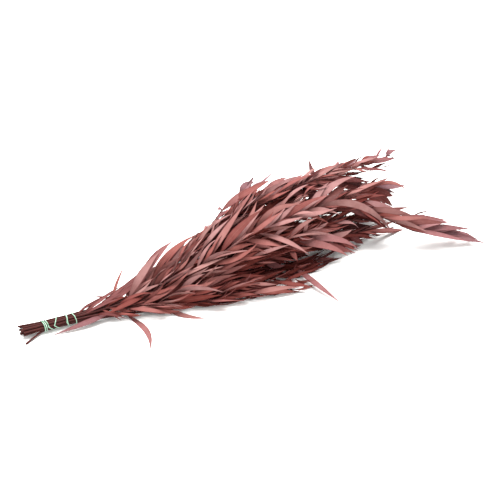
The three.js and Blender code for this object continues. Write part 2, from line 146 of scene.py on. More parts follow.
# %% [markdown]
# ## Chance that repeats
# No two leaves are alike, yet the scene must come out the same on every run. A hash of whole
# numbers gives that: the number of a stem and of a leaf always draw the same value. The last whole
# number of a draw names what is asked, so that two questions about one leaf get two answers.

# %% Repeatable draws
def draw(*keys):
    """A number from 0 to 1, named by whole numbers."""
    h = 0x1B873593
    for key in keys:
        h = ((h ^ (key + 0x9E37)) * 0x85EBCA6B) & 0xFFFFFFFF
        h ^= h >> 13
        h = (h * 0xC2B2AE35) & 0xFFFFFFFF
        h ^= h >> 16
    return h / 2**32


def draw_traits(habit, *keys):
    """One value for each trait of a habit, drawn from its range."""
    return {
        trait: between(low, high, draw(*keys, i)) for i, (trait, (low, high)) in enumerate(habit.items())
    }


print("drawn for stem 3, leaf 7, the same on every run:", round(draw(3, 7), 3))

# %% [markdown]
# ## Where the stems run
# Fourteen stems lie side by side under the string and open into a fan. Each has its slot in the
# tied bundle, its place where the fan is fully open, and its tip. These are the driving sizes of
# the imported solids, so a stem worked out from them runs exactly inside its solid.

# %% The stems of the bunch
STEM_RADIUS = 1.5
TIP_RADIUS = 0.7
STEM_STEP = 46
STEM_POINT = 6
SLOT_PITCH = 3.7
ROW_PITCH = 3.2
MIDDLE_ROW = 1.5
BUNDLE_HEIGHT = 9.7
BUNDLE_TURN = -0.13
TIE_START = 31
TIE_END = 80
CUT_SPREAD = 0.3
LOOSE_END = 15
FAN_X = 400
FRONT_OPENING = {"kink": 1.3, "power": 1}
LATE_OPENING = {"kink": 2, "power": 1.7}
TOP_ROW = 3
SWAY = 2.4
SWAY_UP = 0.4
SWAY_LENGTH = 240
ANY_PHASE = 6
SPLAY_POWER = 1.5

STEM_TRAITS = ("slot", "fan", "tip", "droop", "cut", "leafy", "last", "twigs")
STEMS = [
    dict(zip(STEM_TRAITS, row))
    for row in (
        ((0, -1), (-76, 8), (352, -94, 6), 230, 1, 185, 36, 1),
        ((0, 0), (-50, 8), (464, -62, 6), 300, 5, 190, 44, 1),
        ((0, 1), (48, 9), (520, 74, 8), 300, 2, 150, 58, 2),
        ((1, -1.5), (-72, 26), (332, -80, 22), 230, 3, 150, 36, 1),
        ((1, -0.5), (-42, 26), (452, -46, 22), 300, 0, 140, 44, 1),
        ((1, 0.5), (4, 25), (588, -14, 22), 300, 6, 200, 58, 2),
        ((1, 1.5), (66, 32), (470, 84, 28), 300, 2, 160, 58, 1),
        ((2, -1.5), (-56, 48), (424, -62, 42), 300, 4, 108, 50, 1),
        ((2, -0.5), (-26, 46), (556, -62, 24), 330, 1, 130, 70, 2),
        ((2, 0.5), (12, 56), (598, -6, 56), 300, 7, 185, 58, 2),
        ((2, 1.5), (46, 62), (520, 58, 58), 300, 3, 160, 58, 2),
        ((3, -1), (-34, 76), (646, -122, 18), 490, 2, 118, 84, 1),
        ((3, 0), (8, 88), (652, 28, 78), 300, 5, 165, 28, 2),
        ((3, 1), (36, 84), (400, 44, 88), 300, 0, 155, 34, 1),
    )
]


def stem_point(index, x):
    """A point on a stem's centre line, at a distance along the bunch."""
    stem = STEMS[index]
    row, place = stem["slot"]
    splay = within(1 - x / TIE_START) ** SPLAY_POWER
    spread = 1 + CUT_SPREAD * splay
    y = BUNDLE_TURN * x + place * SLOT_PITCH * spread
    z = BUNDLE_HEIGHT + (row - MIDDLE_ROW) * ROW_PITCH * spread
    if index == 0:
        y -= LOOSE_END * splay
        z = between(z, STEM_RADIUS, splay)
    t = within((x - TIE_END) / (FAN_X - TIE_END))

    def opened(kink, power):
        return (1 - (1 - t) ** 2 * (1 + kink * t)) ** power

    in_front = place < 0 and row < TOP_ROW
    spreading = opened(**(FRONT_OPENING if in_front else LATE_OPENING))
    rising = opened(**LATE_OPENING)
    fall = smooth(within((x - stem["droop"]) / (stem["tip"][0] - stem["droop"])))
    sway = SWAY * rising * sin(2 * pi * x / SWAY_LENGTH + ANY_PHASE * draw(index, 1))
    y = between(between(y, stem["fan"][0], spreading), stem["tip"][1], fall) + sway
    z = between(between(z, stem["fan"][1], rising), stem["tip"][2], fall) + SWAY_UP * sway
    return Vector((x, y, z))


print("furthest stem tip:", max(stem["tip"][0] for stem in STEMS), "mm from the cut ends")

# %% [markdown]
# ## Wood as a list of stations
# A stem or twig is kept as stations along it, the points there and the radii. A leaf finds its seat
# by asking for a place among the stations. A twig is a simple arc, drawn from its root towards a
# bend and on to its tip, and so is the middle line of a leaf.

# %% Stems and twigs as stations
TAPER_POWER = 1.4
TWIG_RADIUS = 0.95
TWIG_STATIONS = (0, 0.25, 0.6, 0.96, 1)


def line_point(line, t):
    return line["root"] * (1 - t) ** 2 + line["bend"] * 2 * t * (1 - t) + line["tip"] * t * t


def line_direction(line, t):
    slope = line["root"] * (t - 1) + line["bend"] * (1 - 2 * t) + line["tip"] * t
    return slope.normalized()


def stem_wood(index):
    stem = STEMS[index]
    end = stem["tip"][0] - STEM_POINT
    steps = ceil((end - TIE_END) / STEM_STEP)
    fanned = [between(TIE_END, end, i / steps) for i in range(steps + 1)]
    stations = [stem["cut"], TIE_START, *fanned, stem["tip"][0]]
    return {
        "stations": stations,
        "points": [stem_point(index, x) for x in stations],
        "radii": [between(STEM_RADIUS, TIP_RADIUS, within(x / end) ** TAPER_POWER) for x in stations],
    }


def twig_wood(line, thick=TWIG_RADIUS, thin=TIP_RADIUS):
    return {
        "stations": TWIG_STATIONS,
        "points": [line_point(line, t) for t in TWIG_STATIONS],
        "radii": [between(thick, thin, t) for t in TWIG_STATIONS],
    }


def place_on(wood, place):
    """The axis, direction and radius of a piece of wood at a place among its stations."""
    stations, points, radii = wood["stations"], wood["points"], wood["radii"]
    after = max(1, next(i for i, station in enumerate(stations) if station >= place))
    before = after - 1
    share = within((place - stations[before]) / (stations[after] - stations[before]))
    return {
        "axis": points[before].lerp(points[after], share),
        "direction": (points[after] - points[before]).normalized(),
        "radius": between(radii[before], radii[after], share),
    }


def seat_at(wood, place, stem, number, **more):
    """A seat on wood for a leaf or twig. The numbers of the stem and of the seat name its draws."""
    return {"stem": stem, "number": number, **more, **place_on(wood, place)}


# %% [markdown]
# ## How a leaf leaves its stem
# Eucalyptus leaves stand in a spiral, and here they also turn out of the dense heart of the bunch
# towards light and air. A leaf's line, face, twist and width follow from its place in the spiral
# and from its own traits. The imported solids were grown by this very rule.

# %% The habit of leaves and twigs
HEART_HEIGHT = 42
HEART_FLATNESS = 1.4
OPEN_TOP = 12
LEAF_TURN = radians(137.5)
LOW_LEAF = 14
ROOT_DEPTH = 0.9
OUTWARD_PULL = 0.7
TIP_LEAN = 0.45
BEND_SHARE = 0.45
TRIES_TO_TURN = 12
TRIES_TO_SHRINK = 300
TWIG_LOWEST = 6
TWIG_AHEAD = 0.6
TWIG_BEND_SHARE = 0.4
TWIG_BOW = 0.06

LEAF_HABIT = {
    "turn": (-pi, pi),
    "lean": (0.15, 0.85),
    "size": (0.82, 1.15),
    "swing": (-0.2, 0.2),
    "sag": (-0.02, 0.14),
    "bow": (0.02, 0.16),
    "hook": (-0.2, 0.2),
    "roll": (-1.1, 1.1),
    "twist": (-1.2, 1.2),
    "slender": (0.12, 0.16),
}
TWIG_HABIT = {"turn": (-1.6, 1.6), "lean": (0.1, 0.26), "size": (110, 165)}


def outward(point, direction):
    """The way out of the bunch at a point, square to a direction."""
    heart = HEART_HEIGHT * within(point.x / FAN_X)
    out = Vector((0, point.y, HEART_FLATNESS * (point.z - heart) + OPEN_TOP))
    return (out - direction * out.dot(direction)).normalized()


def leaf_at(seat, attempt, habit=LEAF_HABIT):
    """One way that a leaf could grow. Later attempts turn further from its place in the spiral.

    Towards the end of a stem or twig the leaves close up to point ahead.
    """
    stem, number, axis, direction = seat["stem"], seat["number"], seat["axis"], seat["direction"]
    traits = draw_traits(habit, stem, number, attempt)
    size = seat["length"] * traits["size"] * (1 - attempt / TRIES_TO_SHRINK)
    turn = number * LEAF_TURN + ANY_PHASE * draw(stem, 2)
    turn += min(1, attempt / TRIES_TO_TURN) * traits["turn"]
    out = outward(axis, direction)
    pull = seat.get("pull", OUTWARD_PULL)
    away = (out * (cos(turn) + pull) + direction.cross(out) * sin(turn)).normalized()
    sideways = direction.cross(away)
    lean = traits["lean"] * between(1, TIP_LEAN, seat["share"])
    reach = direction * cos(lean) + away * sin(lean)
    root = axis + away * max(0, seat["radius"] - ROOT_DEPTH)
    tip = root + reach * size + sideways * size * traits["swing"] - UP * size * traits["sag"]
    bend = root + reach * BEND_SHARE * size + away * size * traits["bow"]
    bend += sideways * size * traits["hook"]
    face = turned(out, direction, traits["roll"]).lerp(UP, within(1 - tip.z / LOW_LEAF))
    width = size * traits["slender"]
    return {"root": root, "bend": bend, "tip": tip, "face": face, "twist": traits["twist"], "width": width}


def twig_at(seat, attempt, habit=TWIG_HABIT):
    """One way that a twig could grow."""
    axis, direction = seat["axis"], seat["direction"]
    traits = draw_traits(habit, seat["stem"], seat["number"], attempt)
    size = traits["size"]
    away = turned(outward(axis, direction), direction, traits["turn"])
    ahead = direction.lerp(AHEAD, TWIG_AHEAD).normalized()
    tip = axis + ahead * size * cos(traits["lean"]) + away * size * sin(traits["lean"])
    tip.z = max(tip.z, TWIG_LOWEST)
    return {"root": axis, "bend": axis.lerp(tip, TWIG_BEND_SHARE) + away * TWIG_BOW * size, "tip": tip}


# %% [markdown]
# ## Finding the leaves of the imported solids
# Each seat on a stem had up to eighty tries to grow a leaf clear of its neighbours, and only the
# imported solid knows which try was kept. A leaf's tip is a corner of that solid, so each try's tip is
# looked up among the corners in a k-d tree. What is found there is the leaf, in its exact place. A
# twig may end inside a leaf, so its line is looked for on the solid's surface instead.

# %% Reading the leaves back from the solids
LEAF_THICKNESS = 0.7
LEAF_LONG = 84
LEAF_SPACING = 19.5
FIRST_LEAF = 0.66
FIRST_SHARE = 0.25
LEAF_JITTER = 0.3
ATTEMPTS = 80
TWIG_NUMBER = 1000
TWIG_JITTER = (0.35, 0.4)
TWIG_AFTER_FIRST = 30
TWIG_BEFORE_TIP = 130
TWIG_LEAVES = 6
TWIG_LEAFY = (0.2, 0.96)
TWIG_LEAF_LONG = 70
TWIG_LEAF_LAST = 46
LENGTH_POWER = 1.5
SAME_CORNER = 0.05
ON_TWIG = 1.1
TWIG_PROBES = (0.3, 0.45, 0.6, 0.75, 0.9)

PLACED_UP = 0.8
PLACED_TWIST = 0.2
PLACED_TRAITS = ("stem", "x", "tip", "bend", "width", "tilt", "pale")
STRAY_LEAVES = [
    dict(zip(PLACED_TRAITS, row))
    for row in (
        (7, 128, (41, -19, 0.35), (4, -6, 3), 11, 0, 0.6),
        (0, 148, (142, -119, 0.35), (26, 2, -12), 11, 0, 0.4),
        (0, 200, (246, -97, 0.35), (-2, -10, -4), 9, 0, 0),
        (1, 412, (427, FRONT, 0.35), (-10, -4, 14), 12, 0, 0.5),
        (11, 628, (LENGTH, -158, 3), (0, 4, 4), 13, 0, 0.7),
        (11, 606, (688, -126, 8), (-2, 6, 5), 13, 0, 0.6),
        (11, 588, (672, -150, 12), (-6, -8, 8), 12, 0, 0.5),
        (13, 136, (178, 24, 44), (-4, 2, 2), 5, 0, 0),
        (13, 196, (290, 16, 62), (-8, 8, 14), 15, 0, 0),
        (9, 586, (648, -24, 40), (10, 4, 22), 13, 0, 0),
        (2, 420, (470, BACK, 0.35), (-6, 8, 6), 11, 0, 0),
        (11, 466, (584, -78, 12), (4, -12, 64), 13, 0.85, 0),
        (11, 522, (604, -84, 38), (0, 2, 26), 11, 0.5, 0),
        (11, 362, (416, -96, 48), (2, -8, 16), 13, 0, 0),
        (11, 378, (423, -67, 95), (-4, -12, 10), 11, 0, 0),
        (11, 342, (402, -45, 100), (-4, -10, 10), 11, 0, 0),
        (11, 318, (388, -18, 101), (-6, -8, 12), 13, 0, 0),
        (11, 276, (360, -6, 104), (-6, -6, 8), 12, 0, 0),
        (11, 182, (114, -31, 13), (4, -7, 9), 10, 0, 0),
        (7, 172, (250, -36, 43), (0, -12, -2), 11, 0, 0),
        (12, 146, (114, 3, 26), (0, 0, 5), 5, 0, 0),
        (11, 584, (662, -112, 28), (0, 10, 12), 13, 0, 0.6),
        (13, 368, (404, 40, 110), (6, 0, -4), 7, 0, 1),
        (13, 386, (441, 40, 113), (8, 2, -6), 7, 0, 1),
    )
]


def placed_leaf(wood, leaf):
    """A leaf that is placed by its seat, tip and bend, and not by the rule.

    Tilt turns its face from the sky to the front. Pale is how much paler and greyer it is dyed.
    """
    seat, tip = place_on(wood, leaf["x"]), Vector(leaf["tip"])
    bend = seat["axis"].lerp(tip, 0.5) + Vector(leaf["bend"])
    face = outward(seat["axis"], seat["direction"]).lerp(UP, PLACED_UP).lerp(TO_FRONT, leaf["tilt"])
    return {**leaf, "root": seat["axis"], "bend": bend, "tip": tip, "face": face, "twist": PLACED_TWIST}


def node_of(index):
    return f"leafy_stem_{index + 1:02d}"


def solid_of(node):
    """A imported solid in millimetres, as a tree of its corners and a tree of its surface."""
    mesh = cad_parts[node].data
    points = [in_millimetres(vertex.co) for vertex in mesh.vertices]
    corners = KDTree(len(points))
    for number, point in enumerate(points):
        corners.insert(point, number)
    corners.balance()
    return corners, BVHTree.FromPolygons(points, [face.vertices[:] for face in mesh.polygons])


def lifted(point):
    """Keeps a point of a blade's middle on or over the surface that the bunch lies on."""
    return Vector((point.x, point.y, max(point.z, LEAF_THICKNESS / 2)))


def first_try(seat, shape_at, is_there):
    """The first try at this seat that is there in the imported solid, or None."""
    tries = (shape_at(seat, attempt) for attempt in range(ATTEMPTS))
    return next((shape for shape in tries if is_there(shape)), None)


def leaf_length(stem, share):
    """How long a leaf is on a stem. The first ones along it are shorter, and so are the last."""
    young = between(FIRST_LEAF, 1, within(share / FIRST_SHARE))
    return between(LEAF_LONG, stem["last"], max(0, share) ** LENGTH_POWER) * young


def grown_on(index):
    """A stem's wood, twigs and leaves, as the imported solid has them."""
    stem, wood = STEMS[index], stem_wood(index)
    corners, surface = solid_of(node_of(index))
    twigs = []

    def leaf_is_there(leaf):
        return corners.find(lifted(leaf["tip"]))[2] < SAME_CORNER

    def twig_is_there(twig):
        return all(surface.find_nearest(line_point(twig, t), ON_TWIG)[0] for t in TWIG_PROBES)

    leaves = [placed_leaf(wood, stray) for stray in STRAY_LEAVES if stray["stem"] == index]
    for order in range(stem["twigs"]):
        share = (order + TWIG_JITTER[0] + TWIG_JITTER[1] * draw(index, order, 3)) / stem["twigs"]
        x = between(stem["leafy"] + TWIG_AFTER_FIRST, stem["tip"][0] - TWIG_BEFORE_TIP, share)
        seat = seat_at(wood, x, index, TWIG_NUMBER + order)
        twigs.append((order, first_try(seat, twig_at, twig_is_there)))
    twigs = [(order, line) for order, line in twigs if line]

    end = stem["tip"][0] - STEM_POINT
    count = floor((end - stem["leafy"]) / LEAF_SPACING)
    for number in range(count + 1):
        share = within((number + LEAF_JITTER * (draw(index, number, 4) - 0.5)) / count)
        x = between(stem["leafy"], end, share)
        seat = seat_at(wood, x, index, number, share=share, length=leaf_length(stem, share))
        leaves.append(first_try(seat, leaf_at, leaf_is_there))
    for order, line in twigs:
        for k in range(TWIG_LEAVES):
            t = between(*TWIG_LEAFY, k / (TWIG_LEAVES - 1))
            length = between(TWIG_LEAF_LONG, TWIG_LEAF_LAST, t)
            seat = seat_at(twig_wood(line), t, index, 100 * (order + 1) + k, share=t, length=length)
            leaves.append(first_try(seat, leaf_at, leaf_is_there))
    return {
        "wood": wood,
        "twigs": [line for _, line in twigs],
        "leaves": [leaf for leaf in leaves if leaf],
    }


plants = [grown_on(index) for index in range(len(STEMS))]
print("twigs read back:", sum(len(plant["twigs"]) for plant in plants))
print("leaves read back:", sum(len(plant["leaves"]) for plant in plants))

# %% [markdown]
# ## One blade as a pattern
# A leaf of this plant is a narrow lance shape on a short stalk, folded a little along its midrib.
# Hundreds are needed, so the pattern has few faces: a grid two cells across and ten along, given a
# thickness by `bmesh.ops.solidify`. Its coordinates are shares of a leaf: X runs from edge to edge,
# Y from stalk to tip, and Z tells the upper face from the lower one.

# %% The pattern of a blade
BLADE_ROWS = 10
BLADE_COLUMNS = 2
SHARP_EDGE = radians(60)
BY_ROW_AND_COLUMN = Vector((10, 1000, 1))


def as_mesh(bm, name):
    """A finished bmesh as a mesh. The bmesh is freed."""
    mesh = bpy.data.meshes.new(name)
    bm.to_mesh(mesh)
    bm.free()
    return mesh


def blade_pattern():
    bm = bmesh.new()
    bmesh.ops.create_grid(bm, x_segments=BLADE_COLUMNS, y_segments=BLADE_ROWS, size=1)
    for vertex in bm.verts:
        vertex.co.y = (vertex.co.y + 1) / 2
    bmesh.ops.solidify(bm, geom=bm.faces[:], thickness=1)
    bmesh.ops.recalc_face_normals(bm, faces=bm.faces)
    bm.verts.ensure_lookup_table()
    height = [vertex.co.z for vertex in bm.verts]
    for vertex in bm.verts:
        vertex.co.z = 1 if vertex.co.z > (min(height) + max(height)) / 2 else -1
    bm.normal_update()
    for edge in bm.edges:
        edge.smooth = edge.calc_face_angle() < SHARP_EDGE
    for face in bm.faces:
        face.smooth = True
    # Solidify adds the rim in an order that changes from run to run, so all is put in one order.
    bm.verts.sort(key=lambda vertex: vertex.co.dot(BY_ROW_AND_COLUMN))
    bm.faces.sort(key=lambda face: face.calc_center_median().dot(BY_ROW_AND_COLUMN))
    return as_mesh(bm, "blade pattern")


BLADE_PATTERN = blade_pattern()
print("blade pattern:", len(BLADE_PATTERN.polygons), "faces")

# %% [markdown]
# ## How a dried blade is bent
# A fresh leaf is flat. A dried one has shrunk across, folds up along its midrib, its edges ripple,
# and its thin tip curls. Each row of the pattern gets a place on the leaf's middle line, the way to
# its side, the way up and a half width there. Fold, ripple and curl are small steps along the way
# up. Rows lie closer together near the stalk, where the outline turns most.

# %% Rows of a dried blade
ROW_CROWDING = 1.2
SHRUNK = 0.88
BELLY_SHIFT = 0.8
BELLY_POWER = 1.1
STALK_HALF = 0.55
STALK_SHARE = 0.05
STALK_TAPER = 0.6
TIP_HALF = 0.14
RIPPLE_FULL = 0.3
CURL_FROM = 0.6
DRYING_HABIT = {
    "fold": (0, 0.3),
    "ripple": (0, 0.16),
    "waves": (0.8, 2.2),
    "phase": (0, 2 * pi),
    "curl": (-0.1, 0.07),
    "tone": (0, 1),
    "hue": (0, 1),
}


def half_width(leaf, t):
    blade = SHRUNK * leaf["width"] / 2 * sin(pi * t**BELLY_SHIFT) ** BELLY_POWER
    return max(blade, between(STALK_HALF, TIP_HALF, within((t - STALK_SHARE) / STALK_TAPER)))


def blade_rows(leaf, drying):
    """Along the leaf: the middle, the way to the side, the way up, the half width and the lifts."""
    length = (leaf["tip"] - leaf["root"]).length
    rows = []
    for row in range(BLADE_ROWS + 1):
        t = (row / BLADE_ROWS) ** ROW_CROWDING
        along = line_direction(leaf, t)
        side = turned(leaf["face"].cross(along).normalized(), along, leaf["twist"] * (t - 0.5))
        up = along.cross(side).normalized()
        half = half_width(leaf, t)
        wave = drying["ripple"] * half * smooth(within(t / RIPPLE_FULL))
        lifts = [
            drying["fold"] * half + wave * sin(2 * pi * drying["waves"] * t + drying["phase"] + 2 * edge)
            for edge in (-1, 1)
        ]
        curled = within((t - CURL_FROM) / (1 - CURL_FROM)) ** 2
        centre = line_point(leaf, t) + up * drying["curl"] * length * curled
        rows.append({"t": t, "centre": centre, "side": side, "up": up, "half": half, "lifts": lifts})
    return rows


def row_point(row, across, above=0):
    """A point of a row, by its share of the half width and its height over the middle, in mm."""
    lift = row["lifts"][0 if across < 0 else 1] * abs(across)
    return row["centre"] + row["side"] * across * row["half"] + row["up"] * (lift + above)


# %% [markdown]
# ## Leaves that keep clear of each other
# Leaves that pass through each other are the first thing that gives a modelled plant away. Each
# grown thing is kept as a thin layer in a `BVHTree`, which answers quickly whether two shapes
# cross. A dried blade that would cross a neighbour is flattened towards the form that its packed
# solid has.

# %% A register of what has grown
BIN_LENGTH = 40
grown = {}


def tree_of(layers):
    """A tree over strips of points, each strip a list of rows with as many points."""
    points, cells = [], []
    for rows in layers:
        for r, row in enumerate(rows):
            start = len(points)
            points.extend(row)
            if r:
                cells += [
                    (start - len(row) + c, start - len(row) + c + 1, start + c + 1, start + c)
                    for c in range(len(row) - 1)
                ]
    low = Vector(map(min, *points))
    high = Vector(map(max, *points))
    return {"low": low, "high": high, "tree": BVHTree.FromPolygons(points, cells)}


def blade_layer(rows, above=0):
    return [[row_point(row, across, above) for across in (-1, 0, 1)] for row in rows]


def ways_along(points):
    """The way from the point before to the point after, at each point of a path."""
    last = len(points) - 1
    return [points[min(i + 1, last)] - points[max(i - 1, 0)] for i in range(last + 1)]


def wood_layer(wood):
    """Three flat strips through a piece of wood, which stand for its round section."""
    strips = []
    for turn in (0, pi / 3, 2 * pi / 3):
        strip = []
        for point, radius, way in zip(wood["points"], wood["radii"], ways_along(wood["points"])):
            direction = way.normalized()
            across = turned(UP.cross(direction).normalized(), direction, turn) * radius
            strip.append([point - across, point + across])
        strips.append(strip)
    return strips


def bins_of(shape):
    """The stretches along the bunch that a shape lies in, so that only near things are tested."""
    return range(floor(shape["low"].x / BIN_LENGTH), floor(shape["high"].x / BIN_LENGTH) + 1)


def boxes_meet(one, other):
    return all(one["low"][i] <= other["high"][i] and other["low"][i] <= one["high"][i] for i in range(3))


def is_clear(shape, own):
    near = (other for number in bins_of(shape) for other in grown.get(number, ()))
    return not any(
        other["owner"] is not own and boxes_meet(shape, other) and shape["tree"].overlap(other["tree"])
        for other in near
    )


def keep(shape, owner):
    for number in bins_of(shape):
        grown.setdefault(number, []).append({**shape, "owner": owner})


for plant in plants:
    keep(tree_of(wood_layer(plant["wood"])), plant["wood"])
    for twig in plant["twigs"]:
        keep(tree_of(wood_layer(twig_wood(twig))), twig)
print("stretches along the bunch:", len(grown))


# %% Drying the leaves of the solids
BLADE_CLEAR = 0.4
DRYING_NUMBER = 5000
DRYING_STRENGTHS = (1, 0.5, 0)


def dried(leaf, drying, strength):
    """A leaf's rows, bent by a share of its drying, and the thin slab that they must keep clear."""
    softened = {**drying, **{trait: drying[trait] * strength for trait in ("fold", "ripple", "curl")}}
    rows = blade_rows(leaf, softened)
    return rows, tree_of([blade_layer(rows, BLADE_CLEAR), blade_layer(rows, -BLADE_CLEAR)])


def add_blade(plant, leaf, rows, drying, pale):
    """Puts a finished blade on the register and gives it to its stem."""
    keep(tree_of([blade_layer(rows)]), leaf)
    plant["blades"].append({"rows": rows, "pale": pale, **drying})


for index, plant in enumerate(plants):
    plant["blades"] = []
    for number, leaf in enumerate(plant["leaves"]):
        drying = draw_traits(DRYING_HABIT, index, DRYING_NUMBER + number)
        for strength in DRYING_STRENGTHS:
            rows, slab = dried(leaf, drying, strength)
            if is_clear(slab, None) or not strength:
                break
        add_blade(plant, leaf, rows, drying, leaf.get("pale", 0))
print("leaves dried:", sum(len(plant["blades"]) for plant in plants))

# %% [markdown]
# ## More leaves between them
# The imported solids hold the form of the bunch with as few leaves as they can. The real one is
# denser: between any two of those leaves there is at least one more, more leaves fill its heart,
# where a later cell darkens them with painted shade, and every shoot ends in small young leaves that
# curled up as they dried. They are grown by the same rule, at seats between the others, and only
# where they are clear of what stands already.
# A skyline along the bunch and an edge along its front keep them inside the outline that the
# photograph shows.

# %% The outline that leaves stay in
SKYLINE = (
    (136, 26), (190, 42), (216, 66), (270, 74), (329, 98),
    (356, 124), (480, 128), (580, 116), (640, 100), (668, 26),
)
BACK_SLOPE = 0.82
FRONT_SLOPE = 0.3
SKYLINE_SLANT = 0.6
FRONT_EDGE = (
    (110, -36), (180, -48), (246, -72), (337, -93), (401, -118), (418, -114), (432, -78),
    (516, -70), (563, -56), (620, -68), (660, -128), (702, -165),
)
OVERHANG = 1.16
OVERHANG_SLANT = 0.68
HIGHEST = in_millimetres(Vector(cad_box[1])).z


def value_at(line, x):
    """The value at a place along a line of stations, which runs level beyond its two ends."""
    for (start, low), (end, high) in zip(line, line[1:]):
        if x <= end:
            break
    return between(low, high, within((x - start) / (end - start)))


def roof_over(point):
    """How high the bunch reaches over a point."""
    behind, before = max(0, point.y), max(0, -point.y)
    roof = value_at(SKYLINE, point.x - SKYLINE_SLANT * behind)
    return roof - BACK_SLOPE * behind - FRONT_SLOPE * before


def front_at(point):
    """How far forward the bunch reaches at a point's height."""
    return value_at(FRONT_EDGE, point.x + OVERHANG_SLANT * point.z) - OVERHANG * point.z


def inside_outline(rows, over=0):
    """True where a leaf stays under the roof, or no more than a little over it, and on the bunch."""
    for row in rows:
        for across in (-1, 1):
            point = row_point(row, across)
            if not (0 < point.z < min(HIGHEST, roof_over(point) + over) and point.x < LENGTH):
                return False
            if not front_at(point) < point.y < BACK:
                return False
    return True


# %% Growing one more thing
FILL_ATTEMPTS = 30


def fill(plant, seat, wood, habit, drying_habit=DRYING_HABIT, pale=0, over=0):
    """Grows one more leaf at a seat, in the first way that is clear, or none."""
    for attempt in range(FILL_ATTEMPTS):
        leaf = leaf_at(seat, attempt, habit)
        drying = draw_traits(drying_habit, seat["stem"], seat["number"], attempt, 50)
        rows, slab = dried(leaf, drying, 1)
        if inside_outline(rows, over) and is_clear(slab, wood):
            add_blade(plant, leaf, rows, drying, pale)
            return


def leaf_count():
    return sum(len(plant["blades"]) for plant in plants)
